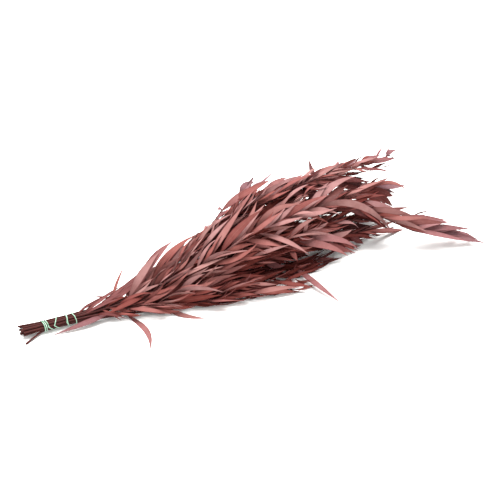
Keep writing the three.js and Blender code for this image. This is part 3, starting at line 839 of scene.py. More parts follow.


# %% [markdown]
# ## Leaves placed one by one
# Some leaves give the bunch its character: those that draw its outline against the white floor, the
# lit ones on its front, and the tiny ones that hug the stems in its neck. Chance wouldn't put them
# there, so each is placed by a seat on its stem, a tip and a bend. One that would cross a neighbour
# gives way by small steps until it is clear. Deep among the leaves some cross after all, and the
# print tells how many.

# %% Small leaves that the photograph shows
SEEN_LEAVES = [
    dict(zip(PLACED_TRAITS, row))
    for row in (
        (13, 380, (409, 44, 98), (0, 0, 6), 15, 0.5, 1),
        (13, 388, (424, 38, 101), (4, -4, 4), 11, 0.4, 1),
        (13, 396, (409, 46, 109), (-6, 0, 2), 8, 0.8, 1),
        (12, 545, (580, 22, 96), (-6, 0, 8), 12, 0.5, 0.9),
        (12, 590, (624, 24, 88), (0, 0, 8), 11, 0.3, 0.6),
        (12, 640, (660, 30, 84), (-2, 0, 8), 8, 0.4, 0.9),
        (12, 575, (641, 8, 62), (0, -6, 8), 8, 0.2, 0.3),
        (9, 575, (640, -4, 30), (0, 0, 8), 14, 0.4, 0.2),
        (9, 592, (661, -4, 40), (6, 0, -8), 10, 0.4, 1),
        (9, 580, (625, -18, 16), (4, -2, 4), 15, 0.9, 0.1),
        (9, 586, (630, -14, 30), (2, -4, 2), 13, 0.9, 0.1),
        (9, 570, (608, -18, 31), (0, -6, 2), 14, 0.9, 0.1),
        (8, 424, (514, -92, 24), (-4, -6, 34), 14, 0.3, 0.4),
        (8, 408, (482, -107, 26), (0, -14, 10), 15, 0.3, 0.3),
        (8, 440, (502, -92, 19), (0, -8, 12), 13, 0.6, 0.2),
        (8, 524, (576, -47, 19), (0, -2, 6), 13, 0.7, 0.1),
        (5, 500, (560, -53, 22), (0, -8, 4), 14, 0.6, 0.1),
        (8, 505, (578, -53, 15), (0, 0, 4), 11, 0.6, 0),
        (12, 522, (602, 7, 48), (0, -4, 2), 13, 0.5, 0.1),
        (12, 505, (597, 20, 58), (0, 0, 4), 13, 0.4, 0.1),
        (10, 488, (577, 12, 58), (0, -4, 4), 12, 0.5, 0.1),
        (13, 360, (430, 34, 101), (0, 0, 4), 12, 0.3, 0.1),
        (13, 340, (412, 38, 99), (0, 2, 5), 12, 0.4, 0.2),
        (12, 398, (458, 32, 93), (0, 4, 4), 12, 0.4, 0.3),
        (12, 410, (476, 32, 96), (0, 4, 4), 11, 0.4, 0.3),
        (12, 452, (514, 26, 102), (0, 0, 4), 12, 0.4, 0.2),
        (12, 470, (533, 26, 98), (0, 2, 4), 12, 0.4, 0.2),
        (12, 600, (654, 28, 72), (0, 0, 6), 11, 0.4, 0.5),
        (7, 108, (146, -50, 5), (0, 0, 3), 5, 0.5, 0.2),
        (10, 400, (482, 18, 82), (0, -2, 6), 12, 0.4, 0.1),
        (9, 412, (492, 16, 75), (0, 4, 4), 12, 0.5, 0.1),
        (12, 440, (532, -4, 70), (0, -6, -4), 12, 0.5, 0.1),
        (9, 470, (540, -28, 46), (0, -6, 2), 13, 0.6, 0.1),
        (9, 420, (490, -22, 57), (0, -6, 2), 12, 0.6, 0.1),
        (11, 450, (512, -24, 56), (0, 6, -4), 12, 0.6, 0.1),
        (8, 466, (510, -70, 44), (4, -8, 0), 11, 0.5, 0.1),
        (12, 525, (586, 0, 64), (4, -4, 6), 14, 0.3, 0.2),
        (12, 520, (583, -4, 53), (0, -8, 0), 12, 0.5, 0.1),
        (11, 500, (570, -70, 39), (0, -4, 4), 12, 0.5, 0.3),
        (11, 630, (693, -145, 5), (0, 2, 6), 12, 0.3, 0.6),
        (11, 600, (684, -139, 22), (0, 6, 8), 12, 0.3, 0.6),
        (11, 590, (670, -131, 26), (0, 6, 6), 12, 0.3, 0.5),
        (11, 570, (650, -115, 38), (0, 4, 6), 13, 0.3, 0.4),
        (11, 634, (698, -141, 5), (0, 4, 8), 13, 0, 0.7),
        (11, 612, (673, -129, 23), (0, 2, 10), 14, 0, 0.7),
        (11, 598, (653, -118, 35), (0, 0, 8), 13, 0, 0.6),
        (0, 320, (392, -118, 13), (0, 0, 6), 9, 0.3, 0),
        (0, 330, (386, -114, 6), (0, -2, 2), 8, 0.3, 0),
        (0, 306, (381, -106, 21), (0, 4, 6), 10, 0.3, 0.1),
        (13, 86, (132, 2, 20), (0, 0, 2), 5, 0.2, 0.3),
        (12, 84, (122, -7, 18), (0, 0, 1), 5, 0.3, 0.2),
        (12, 94, (145, 2, 22), (0, 0, 3), 5, 0.3, 0.3),
        (10, 96, (152, 6, 18), (0, 4, 2), 5, 0.2, 0.2),
        (13, 100, (160, 4, 26), (0, 2, 2), 5, 0.4, 0.4),
        (12, 106, (172, 5, 29), (0, 2, 3), 6, 0.3, 0.3),
        (13, 114, (186, 5, 35), (0, 2, 3), 6, 0.3, 0.4),
        (10, 110, (180, 8, 26), (0, 4, 4), 6, 0.2, 0.3),
        (13, 124, (199, 5, 42), (0, 2, 3), 7, 0.4, 0.4),
        (11, 92, (148, -20, 24), (0, 2, 4), 5, 0.4, 0.3),
        (12, 100, (160, -10, 27), (0, 2, 4), 5, 0.3, 0.3),
        (13, 126, (178, -2, 28), (0, 2, 2), 7, 0.3, 0.3),
        (10, 120, (172, 0, 20), (0, 2, 2), 7, 0.3, 0.3),
        (12, 130, (192, -5, 34), (0, 2, 3), 8, 0.4, 0.3),
        (10, 128, (184, 2, 26), (0, 0, 0), 8, 0.4, 0.3),
        (13, 134, (196, 0, 34), (0, 0, 1), 8, 0.4, 0.3),
        (13, 172, (248, 10, 66), (-4, 6, 12), 15, 0.2, 0.4),
        (12, 160, (224, 6, 60), (-6, 0, 8), 13, 0.3, 0.2),
        (12, 440, (483, 26, 99), (0, 0, 6), 11, 0.3, 0.2),
        (12, 484, (536, 24, 101), (-4, 0, 6), 13, 0.3, 0.2),
    )
]
SEEN_NUMBER = 9000
SEEN_TRIES = 40
SEEN_PLAY = 9
TIP_STIFFNESS = 3


def eased(leaf, *keys):
    """A placed leaf whose bend, and a little its tip, gives way by a small drawn step."""
    step = Vector([between(-SEEN_PLAY, SEEN_PLAY, draw(*keys, axis)) for axis in range(3)])
    return {**leaf, "bend": Vector(leaf["bend"]) + step, "tip": Vector(leaf["tip"]) + step / TIP_STIFFNESS}


crossing = 0
for number, leaf in enumerate(SEEN_LEAVES):
    plant = plants[leaf["stem"]]
    drying = draw_traits(DRYING_HABIT, leaf["stem"], SEEN_NUMBER + number)
    for attempt in range(SEEN_TRIES):
        tried = eased(leaf, number, attempt) if attempt else leaf
        rows, slab = dried(placed_leaf(plant["wood"], tried), drying, 1)
        if is_clear(slab, plant["wood"]):
            break
    else:
        crossing += 1
        rows, _ = dried(placed_leaf(plant["wood"], leaf), drying, 1)
    add_blade(plant, leaf, rows, drying, leaf["pale"])
print("placed leaves:", len(SEEN_LEAVES), "of which not clear of a neighbour:", crossing)

# %% [markdown]
# ## Fine shoots
# Besides its side twigs, each stem carries shoots no thicker than a leaf's stalk, which lift small
# leaves into the gaps. They are arcs like the twigs, free to set out in any direction, and one is
# kept only where it is clear of wood and leaves. A few more are listed, at the front edge.

# %% Fine shoots between the leaves
SEEN_SHOOTS = (
    (8, 480, (497, -90, 16)), (8, 515, (548, -80, 34)),
    (0, 290, (386, -106, 6)), (0, 316, (396, -112, 5)),
    (3, 286, (392, -102, 17)), (3, 264, (372, -98, 10)),
)
SHOOTS = 8
SHOOT_NUMBER = 7000
SHOOT_BEFORE_LEAFY = 20
SHOOT_BEFORE_TIP = 90
SHOOT_RISE = 4
SHOOT_UNDER_ROOF = 8
SHOOT_ATTEMPTS = 12
SHOOT_THICK = 0.85
SHOOT_THIN = 0.55
SHOOT_HABIT = {"turn": (-pi, pi), "lean": (0.04, 0.3), "size": (80, 170)}


def grow_shoot(plant, seat):
    """Grows a fine shoot in the first way that is clear of wood and leaves, or none."""
    for attempt in range(SHOOT_ATTEMPTS):
        line = twig_at(seat, attempt, SHOOT_HABIT)
        wood = twig_wood(line, SHOOT_THICK, SHOOT_THIN)
        inside = all(0 < point.z < roof_over(point) - SHOOT_UNDER_ROOF for point in wood["points"])
        inside = inside and line["tip"].x < STEMS[seat["stem"]]["tip"][0]
        if inside and is_clear(tree_of(wood_layer(wood)), plant["wood"]):
            keep(tree_of(wood_layer(wood)), line)
            return {"line": line, "wood": wood}
    return None


for index, plant in enumerate(plants):
    stem = STEMS[index]
    plant["shoots"] = []
    for owner, x, tip in SEEN_SHOOTS:
        if owner == index:
            root, tip = place_on(plant["wood"], x)["axis"], Vector(tip)
            line = {"root": root, "bend": root.lerp(tip, 0.5) + UP * SHOOT_RISE, "tip": tip}
            plant["shoots"].append({"line": line, "wood": twig_wood(line, SHOOT_THICK, SHOOT_THIN)})
    for k in range(SHOOTS):
        share = (k + draw(index, k, 81)) / SHOOTS
        x = between(stem["leafy"] - SHOOT_BEFORE_LEAFY, stem["tip"][0] - SHOOT_BEFORE_TIP, share)
        seat = seat_at(plant["wood"], x, index, SHOOT_NUMBER + k)
        shoot = grow_shoot(plant, seat)
        if shoot:
            plant["shoots"].append(shoot)
print("fine shoots:", sum(len(plant["shoots"]) for plant in plants))

# %% [markdown]
# ## Seven rounds of filling
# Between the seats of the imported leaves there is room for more. Each round takes other seats along
# the stems and twigs and grows one kind of leaf there: outer ones reach out towards the light, and
# inner ones, narrower and longer, turn back into the heart. A leaf stands in the way of all later
# ones, so most of the outer rounds come first.

# %% The leaves that fill the bunch
FILL_HABIT = {**LEAF_HABIT, "roll": (-1.5, 1.5)}
FILL_NUMBER = 3000
TWIG_FILL_NUMBER = 4000
NECK = 118
OUTER = {"lean": (0.3, 0.95), "slender": (0.15, 0.2)}
INNER = {"lean": (0.08, 0.55), "slender": (0.1, 0.14)}
FILL_PASSES = (
    {"from": 0, "offset": 0.5, "pull": 1.2, "long": 0.66, "habit": OUTER},
    {"from": 0.4, "offset": 0.2, "pull": 0.9, "long": 0.7, "habit": OUTER},
    {"from": 0, "offset": 0.8, "pull": 1.0, "long": 0.6, "habit": OUTER},
    {"from": 0, "offset": 0.25, "pull": -0.6, "long": 0.85, "habit": INNER},
    {"from": 0.4, "offset": 0.7, "pull": -0.2, "long": 0.8, "habit": INNER},
    {"from": -0.08, "offset": 0.4, "pull": 0.9, "long": 0.62, "habit": OUTER},
    {"from": 0.3, "offset": 0.45, "pull": -1.0, "long": 0.9, "habit": INNER},
)

for step, way in enumerate(FILL_PASSES):
    habit, pull = {**FILL_HABIT, **way["habit"]}, way["pull"]
    for index, plant in enumerate(plants):
        stem = STEMS[index]
        end = stem["tip"][0] - STEM_POINT
        count = floor((end - stem["leafy"]) / LEAF_SPACING)
        for k in range(count):
            share = between(way["from"], 1, (k + way["offset"]) / count)
            x = max(NECK, between(stem["leafy"], end, share))
            length = leaf_length(stem, share) * way["long"]
            number = FILL_NUMBER + 100 * step + k
            seat = seat_at(plant["wood"], x, index, number, share=share, length=length, pull=pull)
            fill(plant, seat, plant["wood"], habit)
        for order, twig in enumerate(plant["twigs"]):
            for k in range(TWIG_LEAVES - 1):
                t = between(*TWIG_LEAFY, (k + way["offset"]) / (TWIG_LEAVES - 1))
                length = between(TWIG_LEAF_LONG, TWIG_LEAF_LAST, t) * way["long"]
                number = TWIG_FILL_NUMBER + 300 * order + 100 * step + k
                seat = seat_at(twig_wood(twig), t, index, number, share=t, length=length, pull=pull)
                fill(plant, seat, twig, habit)
    print("after round", step + 1, "there are", leaf_count(), "leaves")

# %% Small leaves on the fine shoots
SHOOT_LEAVES = 6
SHOOT_LEAFY = (0.3, 0.97)
SHOOT_LEAF_LONG = (26, 58)
SHOOT_LEAF_HABIT = {**LEAF_HABIT, "lean": (0.1, 0.6), "slender": (0.1, 0.17)}
SHOOT_LEAF_NUMBER = 8000

for index, plant in enumerate(plants):
    for order, shoot in enumerate(plant["shoots"]):
        for k in range(SHOOT_LEAVES):
            t = between(*SHOOT_LEAFY, k / (SHOOT_LEAVES - 1))
            length = between(*SHOOT_LEAF_LONG, draw(index, order, k, 82))
            number = SHOOT_LEAF_NUMBER + 10 * order + k
            seat = seat_at(shoot["wood"], t, index, number, share=t, length=length)
            fill(plant, seat, shoot["line"], SHOOT_LEAF_HABIT)
print("with the shoots there are", leaf_count(), "leaves")

# %% [markdown]
# ## Young leaves
# Every stem and twig ends in its youngest leaves, short, broad and close together. They were soft,
# so they curled most as they dried, and they took up less dye. The palest stand at the back of the
# bunch, so the further back a stem or twig ends, the paler its young leaves are.

# %% Young leaves at the ends of the stems
YOUNG_HABIT = {
    **LEAF_HABIT, "lean": (0.4, 1.5), "swing": (-0.3, 0.3), "sag": (-0.2, 0.1), "slender": (0.24, 0.4)
}
YOUNG_NUMBER = 6000
YOUNG_DRYING = {**DRYING_HABIT, "fold": (0.1, 0.6), "curl": (-0.2, 0.15)}
YOUNG_LEAVES = 9
YOUNG_LONG = (16, 40)
YOUNG_FROM = 0.72
YOUNG_OVER = 20
PALE_BY_CHANCE = 0.3
PALE_AT = 80

for index, plant in enumerate(plants):
    ends = [(plant["wood"], plant["wood"])] + [(twig_wood(twig), twig) for twig in plant["twigs"]]
    for order, (wood, owner) in enumerate(ends):
        first, last = wood["stations"][0], wood["stations"][-1]
        for k in range(YOUNG_LEAVES):
            share = between(YOUNG_FROM, 1, (k + 0.5) / YOUNG_LEAVES)
            length = between(*YOUNG_LONG, draw(index, order, k, 71))
            number = YOUNG_NUMBER + 100 * order + k
            place = between(first, last, share)
            seat = seat_at(wood, place, index, number, share=0, length=length)
            behind = within(wood["points"][-1].y / PALE_AT)
            pale = between(PALE_BY_CHANCE * draw(index, order, k, 72), 1, behind)
            fill(plant, seat, owner, YOUNG_HABIT, YOUNG_DRYING, pale, YOUNG_OVER)
print("with young leaves there are", leaf_count(), "leaves")

# %% [markdown]
# ## Painted shade in the heart
# Deep in the bunch the leaves lie in shade, and the gaps between the outer leaves look nearly black
# red. That shade is painted into the leaves' colour. How sheltered a leaf is can be measured: from
# its middle a few lines go out towards the sky and the light, and those that meet another leaf are
# counted. The share takes away from the leaf's tone, which the material turns into a colour. So
# does its place, as more painted shade: along the bunch the neck and the tips are darker, and past
# the neck so are the leaves near the floor, under the upper mass. The back is darker too. Each is a
# line of stations and factors.

# %% Painted shade by shelter and place
KEY_AZIMUTH = radians(165)
SKY_LINES = [direction_from(KEY_AZIMUTH, radians(elevation)) for elevation in (90, 65, 45)]
SKY_LINES += [direction_from(radians(72 * k), radians(40)) for k in range(5)]
SKY_REACH = 90
OFF_THE_LEAF = 2
OPEN_SHARE = 0.36
# Painted shade: how far a fully sheltered leaf is darkened, less so towards the neck.
SHELTER_SHADE = 0.88
SHELTER_SHADE_ALONG = ((250, 0.5), (400, 1))
# Factors by place. Along the bunch and near the floor they are painted shade, darker at the neck, at the
# tips and under the upper mass; the back is simply darker.
SHADE_ALONG = ((100, 0.3), (210, 1), (500, 1), (660, 0.58))
TONE_BEHIND = ((0, 1), (48, 0.48))
SHADE_NEAR_FLOOR = ((0, 0.56), (45, 1))
NECK_END = 250
NECK_LIFT = 0.75
LEAST_TONE = 0.5
HUE_BY_PLACE = 0.5

canopy = tree_of([blade_layer(blade["rows"]) for plant in plants for blade in plant["blades"]])


def shelter(rows):
    """The share of lines towards the sky that other leaves stop, from a leaf's middle."""
    middle = rows[BLADE_ROWS // 2]["centre"]
    hits = [canopy["tree"].ray_cast(middle + way * OFF_THE_LEAF, way, SKY_REACH)[0] for way in SKY_LINES]
    return sum(hit is not None for hit in hits) / len(SKY_LINES)


for plant in plants:
    for blade in plant["blades"]:
        x, y, z = blade["rows"][BLADE_ROWS // 2]["centre"]
        # Painted shade: the more lines to the sky and the key light that other leaves stop, the darker the
        # leaf is coloured.
        sheltered = within((shelter(blade["rows"]) - OPEN_SHARE) / (1 - OPEN_SHARE))
        dark = SHELTER_SHADE * sheltered * value_at(SHELTER_SHADE_ALONG, x)
        # A low leaf in the neck counts as a higher one, because light reaches it from the side.
        height = max(z, NECK_LIFT * (NECK_END - x))
        place = value_at(SHADE_ALONG, x) * value_at(TONE_BEHIND, y) * value_at(SHADE_NEAR_FLOOR, height)
        blade["tone"] = between(LEAST_TONE, 1, blade["tone"]) * (1 - dark) * place
        blade["hue"] = between(blade["hue"], 1 - x / LENGTH, HUE_BY_PLACE)
tones = sorted(blade["tone"] for plant in plants for blade in plant["blades"])
print("tones at a tenth, half and nine tenths:", [round(tones[len(tones) * k // 10], 2) for k in (1, 5, 9)])

# %% [markdown]
# ## From rows to a mesh
# Each leaf is a copy of the pattern, brought into a stem's bmesh with `from_mesh`, whose new
# vertices are then moved to their places on the rows. Seven layers travel with every vertex, for
# the material to read: the leaf's tone, which holds its own dye and the painted shade of shelter and
# place, its hue and paleness, how far along and across the blade the vertex lies, whether it is on
# the under side, and its place on the grain in millimetres. The grain is shifted by the leaf's tone,
# so that the blotches differ from leaf to leaf.

# %% Laying blades into a bmesh
RIB_THICK = 0.5
EDGE_THICK = 0.26
STALK_THICK = 1.0
WOOD_MATERIAL = 1
GRAIN_SHIFT = 40
OWN_TRAITS = ("tone", "hue", "pale")
TRAIT_LAYERS = (*OWN_TRAITS, "along", "across", "under")


def add_layers(bm):
    layers = {name: bm.verts.layers.float.new(name) for name in TRAIT_LAYERS}
    layers["grain"] = bm.verts.layers.float_vector.new("grain")
    return layers


def newest(bm, count):
    bm.verts.ensure_lookup_table()
    return bm.verts[count:]


def lay_blade(bm, layers, blade):
    before = len(bm.verts)
    bm.from_mesh(BLADE_PATTERN)
    rows = blade["rows"]
    length = (rows[-1]["centre"] - rows[0]["centre"]).length
    for vertex in newest(bm, before):
        across, along, face = vertex.co
        row = rows[round(along * BLADE_ROWS)]
        thick = between(RIB_THICK, EDGE_THICK, abs(across))
        thick = between(STALK_THICK, thick, smooth(within(row["t"] / (2 * STALK_SHARE))))
        point = row_point(row, across, face * thick / 2)
        point.z = max(point.z, thick * (1 + face) / 2)
        vertex.co = in_metres(point)
        for trait in OWN_TRAITS:
            vertex[layers[trait]] = blade[trait]
        vertex[layers["along"]] = row["t"]
        vertex[layers["across"]] = across
        vertex[layers["under"]] = (1 - face) / 2
        shift = GRAIN_SHIFT * blade["tone"]
        vertex[layers["grain"]] = Vector((across * row["half"], shift, row["t"] * length))


# %% [markdown]
# ## Stems and twigs
# A eucalyptus stem tapers towards its tip, and swells a little where each leaf leaves it. A
# straight tube, which `create_cone` makes where both its radii are the same, is cut into many rings
# by `subdivide_edges` and bent along the stem's stations. Its cut end keeps a flat cap, with an
# inset ring between bark and wood.

# %% Laying wood into a bmesh
STEM_RINGS_EVERY = 3.5
STEM_SIDES = 10
TWIG_SIDES = 7
SHOOT_SIDES = 5
NODE_SWELLING = 0.3
NODE_LENGTH = 2.6
NODE_FALL = 2.7
POINT_RADIUS = 0.3
BARK_SHARE = 0.22
ROUNDINGS = 3


def straight_wood(rings, sides):
    """A straight unit tube with rings and a bark ring inset in its cut end."""
    bm = bmesh.new()
    bmesh.ops.create_cone(
        bm, cap_ends=True, cap_tris=False, segments=sides, radius1=1, radius2=1, depth=1
    )
    long_edges = [edge for edge in bm.edges if abs(edge.verts[0].co.z - edge.verts[1].co.z) > 0.5]
    bmesh.ops.subdivide_edges(bm, edges=long_edges, cuts=rings - 1, use_grid_fill=True)
    cut_end = [face for face in bm.faces if len(face.verts) == sides and face.calc_center_median().z < 0]
    bmesh.ops.inset_region(bm, faces=cut_end, thickness=BARK_SHARE)
    bmesh.ops.recalc_face_normals(bm, faces=bm.faces)
    for face in bm.faces:
        face.smooth = len(face.verts) == 4
        face.material_index = WOOD_MATERIAL
    for edge in bm.edges:
        edge.smooth = len(edge.link_faces) == 2 and edge.calc_face_angle() < SHARP_EDGE
    return as_mesh(bm, "straight wood")


def rounded_path(wood, count):
    """Evenly spaced points and radii along wood, with its corners rounded off."""
    first, last = wood["stations"][0], wood["stations"][-1]
    places = [place_on(wood, between(first, last, i / count)) for i in range(count + 1)]
    points = [place["axis"] for place in places]
    for _ in range(ROUNDINGS):
        inner = [(points[i - 1] + points[i] * 2 + points[i + 1]) / 4 for i in range(1, count)]
        points = [points[0], *inner, points[-1]]
    return points, [place["radius"] for place in places]


def bend_tube(bm, layers, frames, span, sides, tone=0):
    """Bends a straight tube through frames: each a centre, the ways across and over, and a radius."""
    count = len(frames) - 1
    before = len(bm.verts)
    bm.from_mesh(straight_wood(count, sides))
    for vertex in newest(bm, before):
        x, y, z = vertex.co
        ring = round((z + 0.5) * count)
        centre, across, over, radius = frames[ring]
        point = centre + (across * x + over * y) * radius
        point.z = max(point.z, 0)
        vertex.co = in_metres(point)
        vertex[layers["tone"]] = tone
        vertex[layers["grain"]] = Vector((x * radius, y * radius, ring / count * span))


def lay_wood(bm, layers, wood, sides, nodes, tone):
    """Bends a straight tube along a piece of wood, swollen at its nodes."""
    span = sum((b - a).length for a, b in zip(wood["points"], wood["points"][1:]))
    count = ceil(span / STEM_RINGS_EVERY)
    points, radii = rounded_path(wood, count)
    radii[-1] *= POINT_RADIUS
    frames = []
    for point, radius, way in zip(points, radii, ways_along(points)):
        direction = way.normalized()
        across = UP.cross(direction).normalized()
        near = min((abs(point.x - x) for x in nodes), default=inf)
        swell = 1 + NODE_SWELLING * NODE_FALL ** -((near / NODE_LENGTH) ** 2)
        frames.append((point, across, direction.cross(across), radius * swell))
    bend_tube(bm, layers, frames, span, sides, tone)


# %% [markdown]
# ## Colours
# A photograph's colours are read as sRGB hex values, and a shader works with linear light. One
# function turns one into the other. The render shows them through the Standard view, which leaves
# a colour as it is where light is white.

# %% Colour and node helpers
bpy.context.scene.view_settings.view_transform = "Standard"


def linear(hex_colour):
    """An sRGB hex value as linear red, green, blue and a full alpha."""
    parts = [int(hex_colour[i : i + 2], 16) / 255 for i in (1, 3, 5)]
    return (*[c / 12.92 if c <= 0.04045 else ((c + 0.055) / 1.055) ** 2.4 for c in parts], 1)


def new_material(name):
    material = bpy.data.materials.new(name)
    material.use_nodes = True
    shader = material.node_tree.nodes["Principled BSDF"]
    return material, material.node_tree, shader


def connect(tree, node, inputs):
    """Links each input of a node to a socket, or gives it a value."""
    for name, value in inputs.items():
        if isinstance(value, bpy.types.NodeSocket):
            tree.links.new(value, node.inputs[name])
        else:
            node.inputs[name].default_value = value


def add_node(tree, kind, inputs=None, steps=(), **settings):
    """Adds a node with its settings and its ramp's steps, and sets or links its inputs."""
    node = tree.nodes.new(kind)
    for name, value in settings.items():
        setattr(node, name, value)
    connect(tree, node, inputs or {})
    for number, (place, colour) in enumerate(steps):
        elements = node.color_ramp.elements
        element = elements[number] if number < len(elements) else elements.new(place)
        element.position = place
        element.color = linear(colour)
    return node


# %% [markdown]
# ## The finish of a dried leaf
# A preserved leaf is matte and a little leathery, dyed dusty rose all through, with a slightly paler
# midrib, fine side veins that slant forward and darker blotches. Painted shade darkens the end of
# each blade at its stalk, where it leaves the shaded heart of the bunch, and a thin painted shadow
# line darkens its edge, where it lies over the next leaf. No two leaves took the dye alike, so tone
# and hue come from each leaf's own layers, the tone darkened by painted shade, and a pale leaf is
# mixed with mauve. Every such difference is a mask from 0 to 1, with a tint that is laid over the
# last. Veins are 2.4 mm apart, which is coarser than life, so that they still show in a small render.

# %% Dried leaf material
VEIN_SPACING = 2.4
VEIN_SLANT = 0.9
BLOTCH_SIZE = 11
PORE_SIZE = 0.6
EARTH_SHARE = 0.6
LEAF_RELIEF = 0.25
LEAF_ROUGHNESS = (0.58, 0.78)
# Two of these tints are painted shade: a dark end at the stalk, where the leaf leaves the shaded heart, and
# a dark line along its edge, which stands for the shadow it casts on the leaf beneath.
LEAF_TINTS = (
    ("pale", 0.7, "#866a70"),
    ("blotch", 0.35, "#5a1a13"),
    ("shaded_base", 0.6, "#3a0804"),
    ("shadow_margin", 0.55, "#4c1617"),
    ("rib", 0.18, "#976a61"),
    ("vein", 0.12, "#552828"),
    ("under", 0.25, "#7c5655"),
)


def leaf_material():
    material, tree, shader = new_material("dyed and dried eucalyptus leaf")
    read = {
        name: add_node(tree, "ShaderNodeAttribute", attribute_name=name).outputs["Fac"]
        for name in TRAIT_LAYERS
    }
    grain = add_node(tree, "ShaderNodeAttribute", attribute_name="grain").outputs["Vector"]

    # Painted shade: the tone layer holds each leaf's own dye darkened by shelter and place, so the dark end
    # of this ramp paints the shade deep in the bunch.
    dye = add_node(
        tree, "ShaderNodeValToRGB", {"Fac": read["tone"]},
        steps=(
            (0, "#1d0201"), (0.15, "#390b07"), (0.3, "#56241e"),
            (0.5, "#794843"), (0.75, "#8b6a67"), (1, "#8b6c6a"),
        ),
    )
    earth = add_node(
        tree, "ShaderNodeValToRGB", {"Fac": read["hue"]},
        steps=((0, "#f4e0ea"), (0.5, "#ffecea"), (1, "#fff2e8")),
    )
    colour = add_node(
        tree, "ShaderNodeMix", {0: EARTH_SHARE, 6: dye.outputs["Color"], 7: earth.outputs["Color"]},
        data_type="RGBA", blend_type="MULTIPLY",
    ).outputs[2]

    blotch = add_node(tree, "ShaderNodeTexNoise", {"Vector": grain, "Scale": 1 / BLOTCH_SIZE, "Detail": 4.0})
    pores = add_node(tree, "ShaderNodeTexNoise", {"Vector": grain, "Scale": 1 / PORE_SIZE, "Detail": 5.0})
    from_rib = add_node(tree, "ShaderNodeMath", {0: read["across"]}, operation="ABSOLUTE")
    parts = add_node(tree, "ShaderNodeSeparateXYZ", {"Vector": grain})
    spread = add_node(tree, "ShaderNodeMath", {0: parts.outputs["X"]}, operation="ABSOLUTE")
    course = add_node(
        tree, "ShaderNodeMath", {0: spread.outputs[0], 1: -VEIN_SLANT, 2: parts.outputs["Z"]},
        operation="MULTIPLY_ADD",
    )
    turn = add_node(
        tree, "ShaderNodeMath", {0: course.outputs[0], 1: 2 * pi / VEIN_SPACING}, operation="MULTIPLY"
    )
    wave = add_node(tree, "ShaderNodeMath", {0: turn.outputs[0]}, operation="SINE")

    masks = {"pale": read["pale"], "under": read["under"]}
    # The mask along the leaf and the one near its edge place painted shade; blotch, rib and vein are the
    # leaf's own marks.
    for name, value, bare, full in (
        ("blotch", blotch.outputs["Fac"], 0.35, 0.75),
        ("shaded_base", read["along"], 0.4, 0.05),
        ("shadow_margin", from_rib.outputs[0], 0.8, 0.98),
        ("rib", from_rib.outputs[0], 0.1, 0.03),
        ("vein", wave.outputs[0], 0.6, 1.0),
    ):
        mask = add_node(tree, "ShaderNodeMapRange", {"Value": value, "From Min": bare, "From Max": full})
        masks[name] = mask.outputs["Result"]
    for name, strength, tint in LEAF_TINTS:
        share = add_node(tree, "ShaderNodeMath", {0: masks[name], 1: strength}, operation="MULTIPLY")
        colour = add_node(
            tree, "ShaderNodeMix", {0: share.outputs[0], 6: colour, 7: linear(tint)}, data_type="RGBA"
        ).outputs[2]

    height = pores.outputs["Fac"]
    for name in ("vein", "rib"):
        sunk = add_node(tree, "ShaderNodeMath", {0: height, 1: masks[name]}, operation="SUBTRACT")
        height = sunk.outputs[0]
    bump = add_node(
        tree, "ShaderNodeBump", {"Height": height, "Strength": 0.35, "Distance": LEAF_RELIEF * MM}
    )
    smoothest, roughest = LEAF_ROUGHNESS
    rough = add_node(tree, "ShaderNodeMapRange", {
        "Value": pores.outputs["Fac"], "From Min": 0.3, "From Max": 0.7,
        "To Min": smoothest, "To Max": roughest,
    })
    connect(tree, shader, {
        "Base Color": colour, "Roughness": rough.outputs["Result"],
        "Normal": bump.outputs["Normal"], "Specular IOR Level": 0.1,
    })
    return material


dried_leaf = leaf_material()
print("material:", dried_leaf.name)

# %% [markdown]
# ## The finish of the bark
# Young eucalyptus wood is a dark red brown, greyer where the skin has dried and split along the
# grain. The grain layer runs along each stem in millimetres, so noise stretched along it gives
# streaks, 2.4 of them to the millimetre, which is about 0.4 mm each. A twig's tone makes it a more
# even red brown, because young wood hasn't split yet.

# %% Bark material
STREAKS_PER_MM = 2.4
STREAK_STRETCH = 0.06
BARK_RELIEF = 0.3
BARK_ROUGHNESS = (0.55, 0.85)


def bark_material():
    material, tree, shader = new_material("dried eucalyptus bark")
    grain = add_node(tree, "ShaderNodeAttribute", attribute_name="grain").outputs["Vector"]
    tone = add_node(tree, "ShaderNodeAttribute", attribute_name="tone").outputs["Fac"]
    stretched = add_node(tree, "ShaderNodeMapping", {"Vector": grain, "Scale": (1, 1, STREAK_STRETCH)})
    streak = add_node(
        tree, "ShaderNodeTexNoise",
        {"Vector": stretched.outputs["Vector"], "Scale": STREAKS_PER_MM, "Detail": 6.0},
    )
    bark = add_node(
        tree, "ShaderNodeValToRGB", {"Fac": streak.outputs["Fac"]},
        steps=((0.28, "#1a0605"), (0.5, "#36110e"), (0.66, "#4c1e1a"), (0.8, "#653f37")),
    )
    colour = add_node(
        tree, "ShaderNodeMix", {0: tone, 6: bark.outputs["Color"], 7: linear("#4c1c19")}, data_type="RGBA"
    ).outputs[2]
    smoothest, roughest = BARK_ROUGHNESS
    rough = add_node(tree, "ShaderNodeMapRange", {
        "Value": streak.outputs["Fac"], "From Min": 0.3, "From Max": 0.7,
        "To Min": smoothest, "To Max": roughest,
    })
    bump = add_node(
        tree, "ShaderNodeBump",
        {"Height": streak.outputs["Fac"], "Strength": 0.6, "Distance": BARK_RELIEF * MM},
    )
    connect(tree, shader, {
        "Base Color": colour, "Roughness": rough.outputs["Result"],
        "Normal": bump.outputs["Normal"], "Specular IOR Level": 0.2,
    })
    return material


dried_bark = bark_material()
print("material:", dried_bark.name)

# %% [markdown]
# ## Fourteen leafy stems
# Each stem is one piece with its twigs and leaves, as it grew. The piece takes the place of its
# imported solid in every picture, and the solid stays behind for weight and touch.

